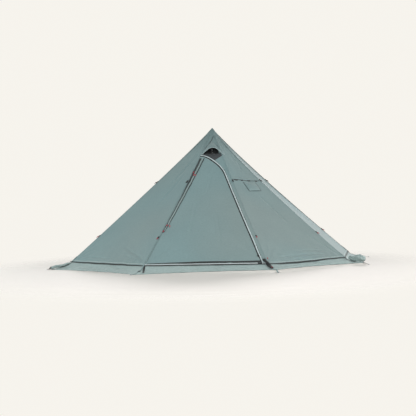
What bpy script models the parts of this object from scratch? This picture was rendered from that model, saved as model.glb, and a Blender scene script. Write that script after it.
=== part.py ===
"""An eight-sided pyramid tent on one centre pole, pitched with its door zipped shut.

Metres, +Z up. The origin is on the ground under the peak, and the door faces -Y.
Ridges and faces are counted anticlockwise, seen from above. Ridge 0 is on the left of the
door, and face 0, the front, lies between ridge 0 and ridge 1.
"""

import math

import bmesh
import bpy
from mathutils import Vector

# Driving sizes
HEM_RADIUS = 2.15
HEM_HEIGHT = 0.10
PEAK_HEIGHT = 1.986
CLOTH = 0.0019
GAP = 0.0003
WEBBING = 0.0015
WEBBING_WIDTH = 0.020

# The eight ridges: how far out each corner is pegged, how hollow its line hangs, and how much
# of the hem height the skirt's outer edge is held off the ground
SIDES = 8
RIDGES = ("front_left", "front_right", "right_front", "right_rear",
          "rear_right", "rear_left", "left_rear", "left_front")
REACH_SHARES = (1.0, 1.0, 0.945, 1.0, 1.0, 1.0, 1.0, 1.0)
SAG_SHARES = (1.10, 1.07, 1.13, 1.08, 1.07, 1.07, 1.07, 1.045)
EDGE_LIFT_SHARES = (0.0, 0.42, 0.30, 0.10, 0.0, 0.0, 0.0, 0.0)
FACES = ("front", "front_right", "right", "rear_right", "rear", "rear_left", "left", "front_left")

# Canopy. Every sheet bends at the same stations, given as shares of the rise below the peak.
STATION_SHARES = (0.86, 0.70, 0.55, 0.42, 0.31, 0.22, 0.145, 0.092, 0.055, 0.030, 0.015)
PANEL_TOP_DROP = 0.020
SEAM_WING = 0.011
PEAK_CLEARANCE = 0.0010
CAP_DROP = 0.105
CAP_CLOTH = 0.0030
CUP_DROP = 0.100
CUP_ROOF_DROP = 0.036
CUP_WALL = 0.0025
GUY_RISES = (0.355, 1.110)
LOOP_LENGTH = 0.034
LOOP_HEIGHT = 0.0062
LOOP_WIDTH = 0.018

# Door on the front face
SILL_HEIGHT = 0.018
DOOR_TOP_DROP = 0.022
DOOR_CLEARANCE = 0.0018
ARCH_FALL = 0.260
ZIP_INSET = 0.080
ZIP_END_SHARE = 0.985
STORM_BAND = 0.020
STORM_PROUD = 0.0022
COIL_WIDTH = 0.007
COIL_PROUD = 0.0014
BUCKLE_RUN = 0.055
BUCKLE_PROUD = 0.0060
BUCKLE_INSET = 0.075

# Zip slider and its pull
SLIDER_RISE = 0.105
SLIDER_LENGTH = 0.020
SLIDER_WIDTH = 0.012
SLIDER_HEIGHT = 0.0045
SLIDER_WAIST_SHARE = 0.62
BRIDGE_WIDTH = 0.0030
BRIDGE_RISE = 0.0042
PULL_LENGTH = 0.034
PULL_WIDTH = 0.0085
PULL_THICKNESS = 0.0014
PULL_BAR = 0.0013
PULL_EYE_LENGTH = 0.0052
PULL_EYE_WIDTH = 0.0044
PULL_SEAT_RISE = 0.00105
PULL_SEAT_DROP = 0.0013

# Door tie-back toggles
TOGGLE_DROPS = (0.951, 0.256)
TOGGLE_RADIUS = 0.0035
TOGGLE_LENGTH = 0.032
TOGGLE_DROP = 0.022
TOGGLE_INSET = 0.060
TOGGLE_CORD = 0.0012

# Vent
VENT_RISE = 0.012
VENT_HEIGHT = 0.100
VENT_MARGIN = 0.035
HOOD_FOOT_DROP = 0.398
HOOD_RISE = 0.100
HOOD_ROOT_RISE = 0.185
HOOD_REACH = 0.014
HOOD_END_INSET = 0.016
HOOD_ROOT_INSET = 0.014
HOOD_BULGE = 0.016
RIM_RADIUS = 0.0032
STRUT_WIDTH = 0.009
STRUT_THICKNESS = 0.0030
NET_COLUMNS = 13
NET_ROWS = 9
NET_THREAD_SHARE = 0.30

# Stove jack on the front-right face
JACK_RISE = 1.072
JACK_FALL = 0.100
JACK_LEFT = 0.086
JACK_WIDTH = 0.225
PIPE_RADIUS = 0.050
PATCH_CLEARANCE = 0.0010
PATCH_BENDS = 6
FIRST_CORNER_TURN = math.radians(135.0)
FLAP_MARGIN = 0.018
FLAP_TOP_MARGIN = 0.010
FLAP_PUFF = 0.030
FLAP_CELLS = 8

# Snow skirt
SKIRT_FACE_REACH = 0.165
SKIRT_CORNER_REACH = 0.285
SKIRT_CLOTH = 0.0030
SKIRT_TUCK = 0.008
SKIRT_COLUMNS = 16
SKIRT_FOLDS = 4
SKIRT_FOLD_DEPTH = 0.016
SKIRT_FOLD_LIFT = 0.020
SKIRT_RUN_SHARES = (0.0, 0.14, 0.45, 0.74, 1.0)
SKIRT_DROP_SHARES = (0.02, 0.34, 0.70, 0.93, 0.97)

# Corner straps, buckles and peg rings
STRAP_RISE = 0.075
STRAP_STEP_SHARE = 0.075
ANCHOR_RUN = 0.060
RING_WIRE = 0.0022
RING_BAR_ROOM = 0.007
RING_DEPTH = 0.024
RING_BENDS = 10
LADDER_LENGTH = 0.030
LADDER_ROOM = 0.010
LADDER_HEIGHT = 0.0055
LADDER_BAR = 0.0040
LADDER_RUN_SHARE = 0.30

# Centre pole
POLE_RADIUS = 0.015
POLE_WALL = 0.0015
POLE_SECTIONS = 4
PLUG_LENGTH = 0.060
FOOT_RADIUS = 0.024
FOOT_HEIGHT = 0.036
FOOT_FLOOR = 0.008
TIP_HEIGHT = 0.030
TIP_PLUG = 0.025
TIP_TOP_RADIUS = 0.010
CHAMFER = 0.0015
TURNED_SIDES = 20

# Angles and ratios
FACE_ANGLE = 2 * math.pi / SIDES
RISE = PEAK_HEIGHT - HEM_HEIGHT
APOTHEM = HEM_RADIUS * math.cos(FACE_ANGLE / 2)
RADIAL = math.hypot(RISE, APOTHEM) / (RISE * math.cos(FACE_ANGLE / 2))
UP = Vector((0.0, 0.0, 1.0))
GROUND_CENTRE = Vector((0.0, 0.0, 0.0))
CUT_RIM = GAP / 2

# Levels worked out from the sizes above
SILL_TOP = HEM_HEIGHT + SILL_HEIGHT
DOOR_LOW = SILL_TOP + GAP
HOOD_FOOT = PEAK_HEIGHT - HOOD_FOOT_DROP
VENT_LOW = HOOD_FOOT + VENT_RISE
VENT_HIGH = VENT_LOW + VENT_HEIGHT
DOOR_TOP = HOOD_FOOT - DOOR_TOP_DROP
ARCH_START = DOOR_TOP - ARCH_FALL
LEAF_TOP = ARCH_START + (DOOR_TOP - ARCH_START) * ZIP_END_SHARE
VENT_PANEL_LOW = LEAF_TOP + DOOR_CLEARANCE
JACK_TOP = HEM_HEIGHT + JACK_RISE
GUY_HEIGHTS = tuple(HEM_HEIGHT + rise for rise in GUY_RISES)
TOGGLE_HEIGHTS = tuple(DOOR_TOP - drop for drop in TOGGLE_DROPS)
SLIDER_LOW = HEM_HEIGHT + SLIDER_RISE
STRAP_TOP = HEM_HEIGHT + STRAP_RISE
ANCHOR_REACH = SKIRT_CORNER_REACH + ANCHOR_RUN
STRAP_STEP = WEBBING_WIDTH * STRAP_STEP_SHARE
RING_BAR = WEBBING_WIDTH + RING_BAR_ROOM
LADDER_WIDTH = WEBBING_WIDTH + LADDER_ROOM
PANEL_TOP = PEAK_HEIGHT - PANEL_TOP_DROP
CAP_LOW = PEAK_HEIGHT - CAP_DROP
SEAM_IN = GAP * RADIAL
SEAM_OUT = SEAM_IN + WEBBING * RADIAL
CLOTH_IN = -CLOTH * RADIAL
STATIONS = (HEM_HEIGHT, *(PEAK_HEIGHT - RISE * share for share in STATION_SHARES), PEAK_HEIGHT)


def material(name, colour, roughness, metallic=0.0):
    """A plain finish of one colour."""
    made = bpy.data.materials.new(name)
    made.use_nodes = True
    shader = made.node_tree.nodes["Principled BSDF"]
    shader.inputs["Base Color"].default_value = (*colour, 1.0)
    shader.inputs["Roughness"].default_value = roughness
    shader.inputs["Metallic"].default_value = metallic
    return made


def finishes():
    """The tent's finishes by name."""
    return {
        "canopy": material("canopy_cloth", (0.20, 0.26, 0.24), 0.75),
        "seam": material("seam_tape", (0.13, 0.18, 0.17), 0.80),
        "skirt": material("skirt_cloth", (0.30, 0.38, 0.37), 0.80),
        "webbing": material("black_webbing", (0.02, 0.02, 0.022), 0.85),
        "light_webbing": material("light_webbing", (0.42, 0.48, 0.48), 0.80),
        "net": material("vent_net", (0.01, 0.01, 0.012), 0.90),
        "patch": material("heat_patch", (0.06, 0.06, 0.06), 0.65),
        "steel": material("steel", (0.55, 0.56, 0.58), 0.30, 1.0),
        "aluminium": material("aluminium", (0.62, 0.63, 0.65), 0.35, 1.0),
        "plastic": material("black_plastic", (0.02, 0.02, 0.02), 0.45),
        "toggle": material("red_toggle", (0.45, 0.03, 0.04), 0.50),
        "rubber": material("rubber", (0.03, 0.03, 0.03), 0.90),
    }


def clear_scene():
    """Takes out whatever the scene holds."""
    for found in list(bpy.data.objects):
        bpy.data.objects.remove(found, do_unlink=True)


def place(name, mesh, finish, origin=GROUND_CENTRE, smooth=False):
    """Turns a bmesh in world coordinates into an object whose own origin is at the given point."""
    bmesh.ops.recalc_face_normals(mesh, faces=mesh.faces)
    bmesh.ops.translate(mesh, verts=mesh.verts, vec=-origin)
    data = bpy.data.meshes.new(name)
    mesh.to_mesh(data)
    mesh.free()
    data.materials.append(finish)
    if smooth:
        data.shade_smooth()
        data.set_sharp_from_angle(angle=math.radians(35.0))
    made = bpy.data.objects.new(name, data)
    made.location = origin
    bpy.context.scene.collection.objects.link(made)
    return made


def fuse(body, guide, solver="EXACT"):
    """Joins a guide shape to a body for good. The guide itself stays out of the model."""
    joined = body.modifiers.new("join_" + guide.name, "BOOLEAN")
    joined.operation = "UNION"
    joined.solver = solver
    joined.object = guide
    guide.hide_render = True
    guide.display_type = "WIRE"


def lerp(low, high, share):
    return low + (high - low) * share


# The canopy's surface


def ridge_azimuth(ridge):
    return (ridge - 1 / 2) * FACE_ANGLE


def outward(azimuth):
    """Level direction at an azimuth that is counted from the door's side."""
    return Vector((math.sin(azimuth), -math.cos(azimuth), 0.0))


def sideways(azimuth):
    """Level direction to the right, seen from outside."""
    return Vector((math.cos(azimuth), math.sin(azimuth), 0.0))


def ridge_curve(ridge, height):
    """Reach of the ridge's hollow line at a height."""
    fall = max(PEAK_HEIGHT - height, 0.0) / RISE
    return HEM_RADIUS * REACH_SHARES[ridge] * fall ** SAG_SHARES[ridge]


def ridge_radius(ridge, height):
    """How far the ridge is from the pole at a height: straight runs between the stations."""
    ridge = ridge % SIDES
    for low, high in zip(STATIONS, STATIONS[1:]):
        if height <= high:
            break
    share = (height - low) / (high - low)
    return max(lerp(ridge_curve(ridge, low), ridge_curve(ridge, high), share), 0.0)


def ridge_point(ridge, height, lift=0.0):
    """Point on a ridge, moved out from the pole by lift."""
    return outward(ridge_azimuth(ridge)) * (ridge_radius(ridge, height) + lift) + UP * height


def chord(face, height, lift=0.0):
    """Level width of a face at a height."""
    return (ridge_point(face + 1, height, lift) - ridge_point(face, height, lift)).length


def face_point(face, height, along, lift=0.0):
    """Point on a face, at a level distance from its left ridge."""
    left = ridge_point(face, height, lift)
    right = ridge_point(face + 1, height, lift)
    return left + (right - left).normalized() * along


def face_frame(face, height, along, lift=0.0):
    """A point on a face with its rightward, upslope and outward directions."""
    step = CLOTH
    here = face_point(face, height, along, lift)
    right = (ridge_point(face + 1, height) - ridge_point(face, height)).normalized()
    upslope = (face_point(face, height + step, along) - face_point(face, height - step, along))
    upslope = (upslope - right * upslope.dot(right)).normalized()
    return here, right, upslope, right.cross(upslope)


def ridge_frame(ridge, height, lift=0.0):
    """A point on a ridge with its rightward, upslope and outward directions."""
    here = ridge_point(ridge, height, lift)
    right = sideways(ridge_azimuth(ridge))
    upslope = (ridge_point(ridge, height + CLOTH) - ridge_point(ridge, height - CLOTH)).normalized()
    return here, right, upslope, right.cross(upslope)


def levels(low, high, extra=()):
    """Heights from low to high, with the stations between them and any extra ones."""
    found = [low]
    for height in sorted((*STATIONS, *extra, high)):
        if found[-1] + CLOTH < height < high - CLOTH or height == high:
            found.append(height)
    return found


def cells_between(heights, low, high, columns):
    """Grid cells whose rows lie between two heights."""
    rows = [row for row, height in enumerate(heights[:-1]) if low - GAP < height < high - GAP]
    return [(row, column) for row in rows for column in columns]


def left_rim(face, height, lift):
    return CUT_RIM


def right_rim(face, height, lift):
    return chord(face, height, lift) - CUT_RIM


def middle(face, height, lift):
    return chord(face, height, lift) / 2


# Closed shapes from grids, bands and profiles


def shell(outer, inner, missing=()):
    """Closed mesh between two grids of points. The missing cells are left open, with walls."""
    mesh = bmesh.new()
    front = [[mesh.verts.new(point) for point in row] for row in outer]
    back = [[mesh.verts.new(point) for point in row] for row in inner]
    cells = {(row, column) for row in range(len(outer) - 1) for column in range(len(outer[0]) - 1)}
    cells -= set(missing)
    for row, column in sorted(cells):
        corners = ((row, column), (row, column + 1), (row + 1, column + 1), (row + 1, column))
        beside = ((row - 1, column), (row, column + 1), (row + 1, column), (row, column - 1))
        mesh.faces.new([front[i][j] for i, j in corners])
        mesh.faces.new([back[i][j] for i, j in reversed(corners)])
        for side, neighbour in enumerate(beside):
            if neighbour in cells:
                continue
            (i, j), (k, m) = corners[side], corners[(side + 1) % len(corners)]
            mesh.faces.new([front[k][m], front[i][j], back[i][j], back[k][m]])
    for vertex in [vertex for vertex in mesh.verts if not vertex.link_faces]:
        mesh.verts.remove(vertex)
    return mesh


def face_sheet(face, heights, edges, lifts, inner_lift=CLOTH_IN, missing=()):
    """Cloth on a face. Each column has an edge, a distance from the left ridge, and a lift."""
    outer = []
    inner = []
    for height in heights:
        outer.append([face_point(face, height, edge(face, height, lift), lift)
                      for edge, lift in zip(edges, lifts)])
        inner.append([face_point(face, height, edge(face, height, inner_lift), inner_lift)
                      for edge in edges])
    return shell(outer, inner, missing)


def band(outer, inner, half_width):
    """Closed band between two outlines of as many points, as wide as half_width each way."""
    mesh = bmesh.new()
    rings = [[mesh.verts.new(point + shift) for point in outline]
             for outline, shift in ((outer, -half_width), (outer, half_width),
                                    (inner, half_width), (inner, -half_width))]
    count = len(outer)
    for ring, following in zip(rings, rings[1:] + rings[:1]):
        for point in range(count):
            after = (point + 1) % count
            mesh.faces.new([ring[point], ring[after], following[after], following[point]])
    return mesh


def tube_along(points, right, out, radius_right, radius_out, sides):
    """Closed bar along points, its section an ellipse or, with four sides, a diamond."""
    mesh = bmesh.new()
    rings = []
    for point in points:
        ring = []
        for side in range(sides):
            turn = 2 * math.pi * side / sides
            offset = right * radius_right * math.cos(turn) + out * radius_out * math.sin(turn)
            ring.append(mesh.verts.new(point + offset))
        rings.append(ring)
    for ring, following in zip(rings, rings[1:]):
        for side in range(sides):
            after = (side + 1) % sides
            mesh.faces.new([ring[side], ring[after], following[after], following[side]])
    mesh.faces.new(rings[0])
    mesh.faces.new(list(reversed(rings[-1])))
    return mesh


def block(centre, right, up, out, width, height, depth):
    """Closed box about a centre."""
    mesh = bmesh.new()
    corners = []
    for z_side in (-1, 1):
        for x_side, y_side in ((-1, -1), (1, -1), (1, 1), (-1, 1)):
            corner = centre + (right * width * x_side + up * height * y_side + out * depth * z_side) / 2
            corners.append(mesh.verts.new(corner))
    low, high = corners[:4], corners[4:]
    mesh.faces.new(list(reversed(low)))
    mesh.faces.new(high)
    for side in range(4):
        after = (side + 1) % 4
        mesh.faces.new([low[side], low[after], high[after], high[side]])
    return mesh


def turned(profile, closed, sides=TURNED_SIDES):
    """Round shape about the pole's axis. A closed profile is a wall, an open one ends on the axis."""
    mesh = bmesh.new()
    rings = []
    for radius, height in profile:
        if radius == 0.0:
            rings.append([mesh.verts.new((0.0, 0.0, height))])
            continue
        rings.append([mesh.verts.new((radius * math.cos(2 * math.pi * side / sides),
                                      radius * math.sin(2 * math.pi * side / sides), height))
                      for side in range(sides)])
    following = rings[1:] + rings[:1] if closed else rings[1:]
    for ring, after in zip(rings, following):
        for side in range(sides):
            corners = []
            for vertex in (ring[side % len(ring)], ring[(side + 1) % len(ring)],
                           after[(side + 1) % len(after)], after[side % len(after)]):
                if vertex not in corners:
                    corners.append(vertex)
            mesh.faces.new(corners)
    return mesh


def cone_shell(heights, lift, inner_heights, inner_lift):
    """Eight-sided hollow cap inside or outside the peak: closed above, open below."""
    mesh = bmesh.new()
    outer = [[mesh.verts.new(ridge_point(ridge, height, lift)) for ridge in range(SIDES)]
             for height in heights]
    inner = [[mesh.verts.new(ridge_point(ridge, height, inner_lift)) for ridge in range(SIDES)]
             for height in inner_heights]
    for rings in (outer, inner, [outer[0], inner[0]]):
        for ring, after in zip(rings, rings[1:]):
            for side in range(SIDES):
                beside = (side + 1) % SIDES
                mesh.faces.new([ring[side], ring[beside], after[beside], after[side]])
    mesh.faces.new(outer[-1])
    mesh.faces.new(list(reversed(inner[-1])))
    return mesh


def stadium(length, height, bends=4):
    """Outline of a flattened loop: two straight runs and two half circles."""
    radius = height / 2
    reach = length / 2 - radius
    points = []
    for end in (1, -1):
        for bend in range(bends + 1):
            turn = math.pi * (bend / bends - 1 / 2)
            points.append((end * (reach + radius * math.cos(turn)), end * radius * math.sin(turn)))
    return points


# Canopy


def plain_panel(face, finish):
    """One whole gore from the hem to just under the peak."""
    heights = levels(HEM_HEIGHT, PANEL_TOP)
    mesh = face_sheet(face, heights, (left_rim, middle, right_rim), (0.0, 0.0, 0.0))
    place("panel_" + FACES[face], mesh, finish)


def jack_left(face, height, lift):
    """The window's left side, which stays as far from the face's middle."""
    return middle(face, height, lift) - JACK_LEFT


def jack_right(face, height, lift):
    return jack_left(face, height, lift) + JACK_WIDTH


def jack_panel(face, finish):
    """The gore beside the door, with a window for the stove jack."""
    jack_low = JACK_TOP - JACK_FALL
    heights = levels(HEM_HEIGHT, PANEL_TOP, (jack_low, JACK_TOP))
    edges = (left_rim, jack_window_left, jack_window_right, right_rim)
    window = cells_between(heights, jack_low, JACK_TOP, (1,))
    mesh = face_sheet(face, heights, edges, (0.0,) * len(edges), missing=window)
    place("panel_" + FACES[face], mesh, finish)


def jack_window_left(face, height, lift):
    """Column through the window's left side, drawn in towards the peak above it."""
    share = min(chord(face, height, lift) / chord(face, JACK_TOP, lift), 1.0)
    return middle(face, height, lift) - JACK_LEFT * share


def jack_window_right(face, height, lift):
    """Column through the window's right side, drawn in towards the peak above it."""
    share = min(chord(face, height, lift) / chord(face, JACK_TOP, lift), 1.0)
    return middle(face, height, lift) + (JACK_WIDTH - JACK_LEFT) * share


def vent_left(face, height, lift):
    """Column along the vent's left side."""
    margin = min(VENT_MARGIN, chord(face, height, lift) / 4)
    return margin


def vent_right(face, height, lift):
    return chord(face, height, lift) - vent_left(face, height, lift)


def vent_panel(face, finish):
    """The front gore above the door, with the vent's opening in it."""
    heights = levels(VENT_PANEL_LOW, PANEL_TOP, (VENT_LOW, VENT_HIGH))
    edges = (left_rim, vent_left, vent_right, right_rim)
    opening = cells_between(heights, VENT_LOW, VENT_HIGH, (1,))
    mesh = face_sheet(face, heights, edges, (0.0,) * len(edges), missing=opening)
    place("panel_" + FACES[face], mesh, finish)


def ridge_seam(ridge, finish):
    """Seam tape over a ridge, with its two guy-out loops sewn on."""
    heights = levels(HEM_HEIGHT, CAP_LOW - GAP)
    outer = []
    inner = []
    for height in heights:
        for row, lift in ((outer, SEAM_OUT), (inner, SEAM_IN)):
            width = chord(ridge - 1, height, lift)
            points = [face_point(ridge - 1, height, width - SEAM_WING, lift)]
            if ridge == 0:
                points.append(face_point(ridge - 1, height, width - CUT_RIM, lift))
            else:
                points.append(ridge_point(ridge, height, lift))
                points.append(face_point(ridge, height, SEAM_WING, lift))
            row.append(points)
    seam = place("ridge_seam_" + RIDGES[ridge], shell(outer, inner), finish)
    for number, height in enumerate(GUY_HEIGHTS):
        here, right, upslope, out = ridge_frame(ridge, height, SEAM_OUT)
        if ridge == 0:
            width = chord(ridge - 1, height, SEAM_OUT)
            here, right, upslope, out = face_frame(ridge - 1, height, width, SEAM_OUT)
            here -= right * (LOOP_WIDTH / 2 + GAP)
        centre = here + out * (LOOP_HEIGHT / 2 - WEBBING / 2)
        outlines = []
        for length, tall in ((LOOP_LENGTH, LOOP_HEIGHT),
                             (LOOP_LENGTH - 2 * WEBBING, LOOP_HEIGHT - 2 * WEBBING)):
            outlines.append([centre + upslope * u + out * v for u, v in stadium(length, tall)])
        loop = band(outlines[0], outlines[1], right * LOOP_WIDTH / 2)
        fuse(seam, place(f"guy_loop_{ridge}_{number}", loop, finish))


def peak_cap(finish):
    """Doubled cloth over the peak."""
    under = PEAK_CLEARANCE * RADIAL
    top = under + CAP_CLOTH * RADIAL
    mesh = cone_shell(levels(CAP_LOW, PEAK_HEIGHT), top, levels(CAP_LOW, PANEL_TOP + GAP), under)
    place("peak_cap", mesh, finish)


def pole_cup(finish):
    """Cup inside the peak that the pole's tip bears on."""
    low = PEAK_HEIGHT - CUP_DROP
    roof = PEAK_HEIGHT - CUP_ROOF_DROP
    lift = CLOTH_IN - PEAK_CLEARANCE * RADIAL
    mesh = cone_shell(levels(low, roof + CUP_WALL), lift, levels(low, roof), lift - CUP_WALL * RADIAL)
    place("pole_cup", mesh, finish)


# Door


def zip_line(face, height, lift):
    """The zip's distance from the left ridge: beside the right ridge below, then an arch."""
    run = chord(face, height, lift) - ZIP_INSET
    climb = (height - ARCH_START) / (DOOR_TOP - ARCH_START)
    if climb <= 0.0:
        return run
    return run * math.sqrt(max(1.0 - climb * climb, 0.0))


def coil_edge(face, height, lift):
    return zip_line(face, height, lift) - COIL_WIDTH


def storm_start(face, height, lift):
    return zip_line(face, height, lift) + GAP


def storm_edge(face, height, lift):
    return min(zip_line(face, height, lift) + STORM_BAND, chord(face, height, lift) - 2 * CLOTH)


def storm_step(face, height, lift):
    return storm_edge(face, height, lift) + CLOTH / 2


def door_heights():
    """Levels up the door, closer together round the arch."""
    bends = 7
    arch = [lerp(ARCH_START, LEAF_TOP, math.sin(math.pi / 2 * bend / bends)) for bend in range(bends)]
    return levels(DOOR_LOW, LEAF_TOP, arch)


def door_middle(face, height, lift):
    return zip_line(face, height, lift) / 2


def door_leaf(finish):
    """The leaf between the front-left ridge and the zip, with its half of the zip."""
    edges = (left_rim, door_middle, coil_edge, zip_line)
    lifts = (0.0, 0.0, COIL_PROUD * RADIAL, COIL_PROUD * RADIAL)
    mesh = face_sheet(0, door_heights(), edges, lifts)
    place("door_leaf", mesh, finish, origin=ridge_point(0, DOOR_LOW))


def door_frame(finish):
    """The fixed side of the front face, with the storm band along the zip."""
    edges = (storm_start, storm_edge, storm_step, right_rim)
    lifts = (STORM_PROUD * RADIAL, STORM_PROUD * RADIAL, 0.0, 0.0)
    mesh = face_sheet(0, door_heights(), edges, lifts)
    place("door_frame_right", mesh, finish)


def buckle_start(face, height, lift):
    return chord(face, height, lift) - BUCKLE_INSET - BUCKLE_RUN


def buckle_end(face, height, lift):
    return chord(face, height, lift) - BUCKLE_INSET


def sill_strap(finish):
    """Webbing across the foot of the doorway, with its buckle near the right corner."""
    edges = (left_rim, buckle_start, buckle_start, buckle_end, buckle_end, right_rim)
    proud = BUCKLE_PROUD * RADIAL
    low, high = 0.0, proud
    shifts = (0.0, -CLOTH, 0.0, 0.0, CLOTH, 0.0)
    lifts = (low, low, high, high, low, low)

    def shifted(edge, shift):
        return lambda face, height, lift: edge(face, height, lift) + shift

    columns = [shifted(edge, shift) for edge, shift in zip(edges, shifts)]
    mesh = face_sheet(0, [HEM_HEIGHT, SILL_TOP], columns, lifts)
    place("door_sill_strap", mesh, finish)


def slider_point(height):
    """Where the slider sits on the leaf at a height, beside the zip line."""
    proud = (COIL_PROUD + GAP) * RADIAL
    return face_point(0, height, zip_line(0, height, proud) - SLIDER_WIDTH, proud)


def slider_seat(height):
    """The slider's seat with its directions: across the zip, up along it and out from the leaf."""
    here = slider_point(height)
    out = face_frame(0, height, 0.0)[3]
    along = slider_point(height + SLIDER_LENGTH) - slider_point(height - SLIDER_LENGTH)
    along = (along - out * along.dot(out)).normalized()
    return here, along.cross(out), along, out


def zip_slider(finish):
    """Slider body: waisted sides, a domed top and the bridge that the pull hangs from."""
    seat, right, upslope, out = slider_seat(SLIDER_LOW)
    half_widths = (1.0, SLIDER_WAIST_SHARE, SLIDER_WAIST_SHARE, 1.0)
    stations = (-1 / 2, -1 / 4, 1 / 4, 1 / 2)
    outer = []
    inner = []
    for station, share in zip(stations, half_widths):
        middle_line = seat + upslope * SLIDER_LENGTH * station
        reach = right * SLIDER_WIDTH / 2 * share
        top = out * SLIDER_HEIGHT
        outer.append([middle_line - reach + top / 2, middle_line + top,
                      middle_line + reach + top / 2])
        inner.append([middle_line - reach, middle_line, middle_line + reach])
    body = place("zip_slider", shell(outer, inner), finish, origin=seat, smooth=True)
    legs = []
    for station, share in ((-1, 1 / 2), (-1, 1), (1, 1), (1, 1 / 2)):
        run = upslope * SLIDER_LENGTH / 4 * station
        legs.append(seat + run + out * (SLIDER_HEIGHT + BRIDGE_RISE * (2 * share - 1)))
    low = -out * SLIDER_HEIGHT / 2
    outline = [legs[0] + low, legs[1], legs[2], legs[3] + low]
    inside = [(point + seat + out * SLIDER_HEIGHT) / 2 for point in outline]
    bridge = band(outline, inside, right * BRIDGE_WIDTH / 2)
    fuse(body, place("guide_bridge", bridge, finish, origin=seat))


def pull_axis_point():
    """Centre of the pull's crossbar, inside the slider's bridge."""
    seat, right, upslope, out = slider_seat(SLIDER_LOW)
    return seat + out * (SLIDER_HEIGHT + PULL_SEAT_RISE) - upslope * PULL_SEAT_DROP


def zip_pull(finish):
    """Pull tab that lies down the slope. Its eye goes round the lower leg of the bridge."""
    seat, right, upslope, out = slider_seat(SLIDER_LOW)
    top = pull_axis_point()
    outer = []
    inner = []
    for down in (-PULL_BAR / 2, PULL_BAR / 2, PULL_EYE_LENGTH, PULL_LENGTH):
        for row, rise in ((outer, PULL_THICKNESS / 2), (inner, -PULL_THICKNESS / 2)):
            row.append([top - upslope * down + out * rise + right * across / 2
                        for across in (-PULL_WIDTH, -PULL_EYE_WIDTH, PULL_EYE_WIDTH, PULL_WIDTH)])
    place("zip_pull", shell(outer, inner, missing=((1, 1),)), finish, origin=top)


def toggle(number, height, finish):
    """Tie-back toggle on a short cord, sewn to the leaf beside its hinge edge."""
    lift = GAP * RADIAL
    root, right, upslope, out = face_frame(0, height, TOGGLE_INSET, lift)
    start = root + out * TOGGLE_CORD
    end = start - upslope * TOGGLE_DROP + out * (TOGGLE_RADIUS - TOGGLE_CORD)
    cord = tube_along([start, end], right, out, TOGGLE_CORD, TOGGLE_CORD, 6)
    name = ("door_toggle_lower", "door_toggle_upper")[number]
    body = place(name, cord, finish, origin=start)
    taper = TOGGLE_LENGTH / 2
    bar_points = [end + upslope * reach for reach in (-taper, taper)]
    bar = tube_along(bar_points, right, out, TOGGLE_RADIUS, TOGGLE_RADIUS, 8)
    bmesh.ops.translate(bar, verts=bar.verts, vec=-upslope * taper / 2)
    fuse(body, place("guide_" + name, bar, finish, origin=start))


# Vent


def net_panel(finish):
    """Net that fills the vent's opening, as a grid of threads."""
    inset = PATCH_CLEARANCE
    columns = []
    for column in range(NET_COLUMNS + 1):
        whole, odd = divmod(column, 2)
        share = (2 * whole + (NET_THREAD_SHARE * 2 if odd else 0.0)) / (NET_COLUMNS + NET_THREAD_SHARE)
        columns.append(min(share, 1.0))
    columns[-1] = 1.0
    rows = []
    for row in range(NET_ROWS + 1):
        whole, odd = divmod(row, 2)
        share = (2 * whole + (NET_THREAD_SHARE * 2 if odd else 0.0)) / (NET_ROWS + NET_THREAD_SHARE)
        rows.append(min(share, 1.0))
    rows[-1] = 1.0
    heights = [lerp(VENT_LOW + inset, VENT_HIGH - inset, share) for share in rows]

    def column_edge(share):
        return lambda face, height, lift: lerp(vent_left(face, height, lift) + inset,
                                               vent_right(face, height, lift) - inset, share)

    edges = [column_edge(share) for share in columns]
    gaps = [(row, column) for row in range(1, NET_ROWS, 2) for column in range(1, NET_COLUMNS, 2)]
    lift = CLOTH_IN / 4
    mesh = face_sheet(0, heights, edges, (lift,) * len(edges), CLOTH_IN + lift / 2, gaps)
    place("vent_net", mesh, finish)


def brim_point(turn):
    """Point on the hood's brim, which stands upright over the vent's foot."""
    lift = SEAM_OUT + RIM_RADIUS * RADIAL
    half = chord(0, HOOD_FOOT, lift) / 2
    foot = face_point(0, HOOD_FOOT, half - (half - HOOD_END_INSET) * math.cos(turn), lift)
    return foot + (UP * HOOD_RISE + outward(0.0) * HOOD_REACH) * math.sin(turn)


def root_point(turn):
    """Point where the hood is sewn to the panel above the vent."""
    level = HOOD_FOOT + HOOD_ROOT_RISE * math.sin(turn)
    lift = 2 * SEAM_IN
    half = chord(0, level, lift) / 2
    return face_point(0, level, half - (half - HOOD_ROOT_INSET) * math.cos(turn), lift)


def vent_hood(finish):
    """Hooded awning over the vent, with a stiff brim."""
    steps = 12
    courses = 3
    hub = face_point(0, HOOD_FOOT, middle(0, HOOD_FOOT, 0.0))
    outer = []
    inner = []
    for step in range(steps + 1):
        turn = math.pi * step / steps
        brim, root = brim_point(turn), root_point(turn)
        line = []
        under = []
        for course in range(courses + 1):
            share = course / courses
            point = brim.lerp(root, share)
            out = (point - hub).normalized()
            point += out * HOOD_BULGE * math.sin(turn) * math.sin(math.pi * share)
            line.append(point + out * CLOTH)
            under.append(point)
        outer.append(line)
        inner.append(under)
    body = place("vent_hood", shell(outer, inner), finish, smooth=True)
    rim_points = [brim_point(math.pi * step / steps) for step in range(steps + 1)]
    rim = bmesh.new()
    rings = []
    for step, point in enumerate(rim_points):
        turn = math.pi * step / steps
        radial_out = Vector((-math.cos(turn), 0.0, math.sin(turn)))
        ring = []
        for side in range(6):
            angle = 2 * math.pi * side / 6
            ring.append(rim.verts.new(point + radial_out * RIM_RADIUS * math.cos(angle)
                                      + Vector((0.0, RIM_RADIUS * math.sin(angle), 0.0))))
        rings.append(ring)
    for ring, after in zip(rings, rings[1:]):
        for side in range(6):
            beside = (side + 1) % 6
            rim.faces.new([ring[side], ring[beside], after[beside], after[side]])
    rim.faces.new(rings[0])
    rim.faces.new(list(reversed(rings[-1])))
    fuse(body, place("guide_brim", rim, finish), solver="MANIFOLD")


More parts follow.
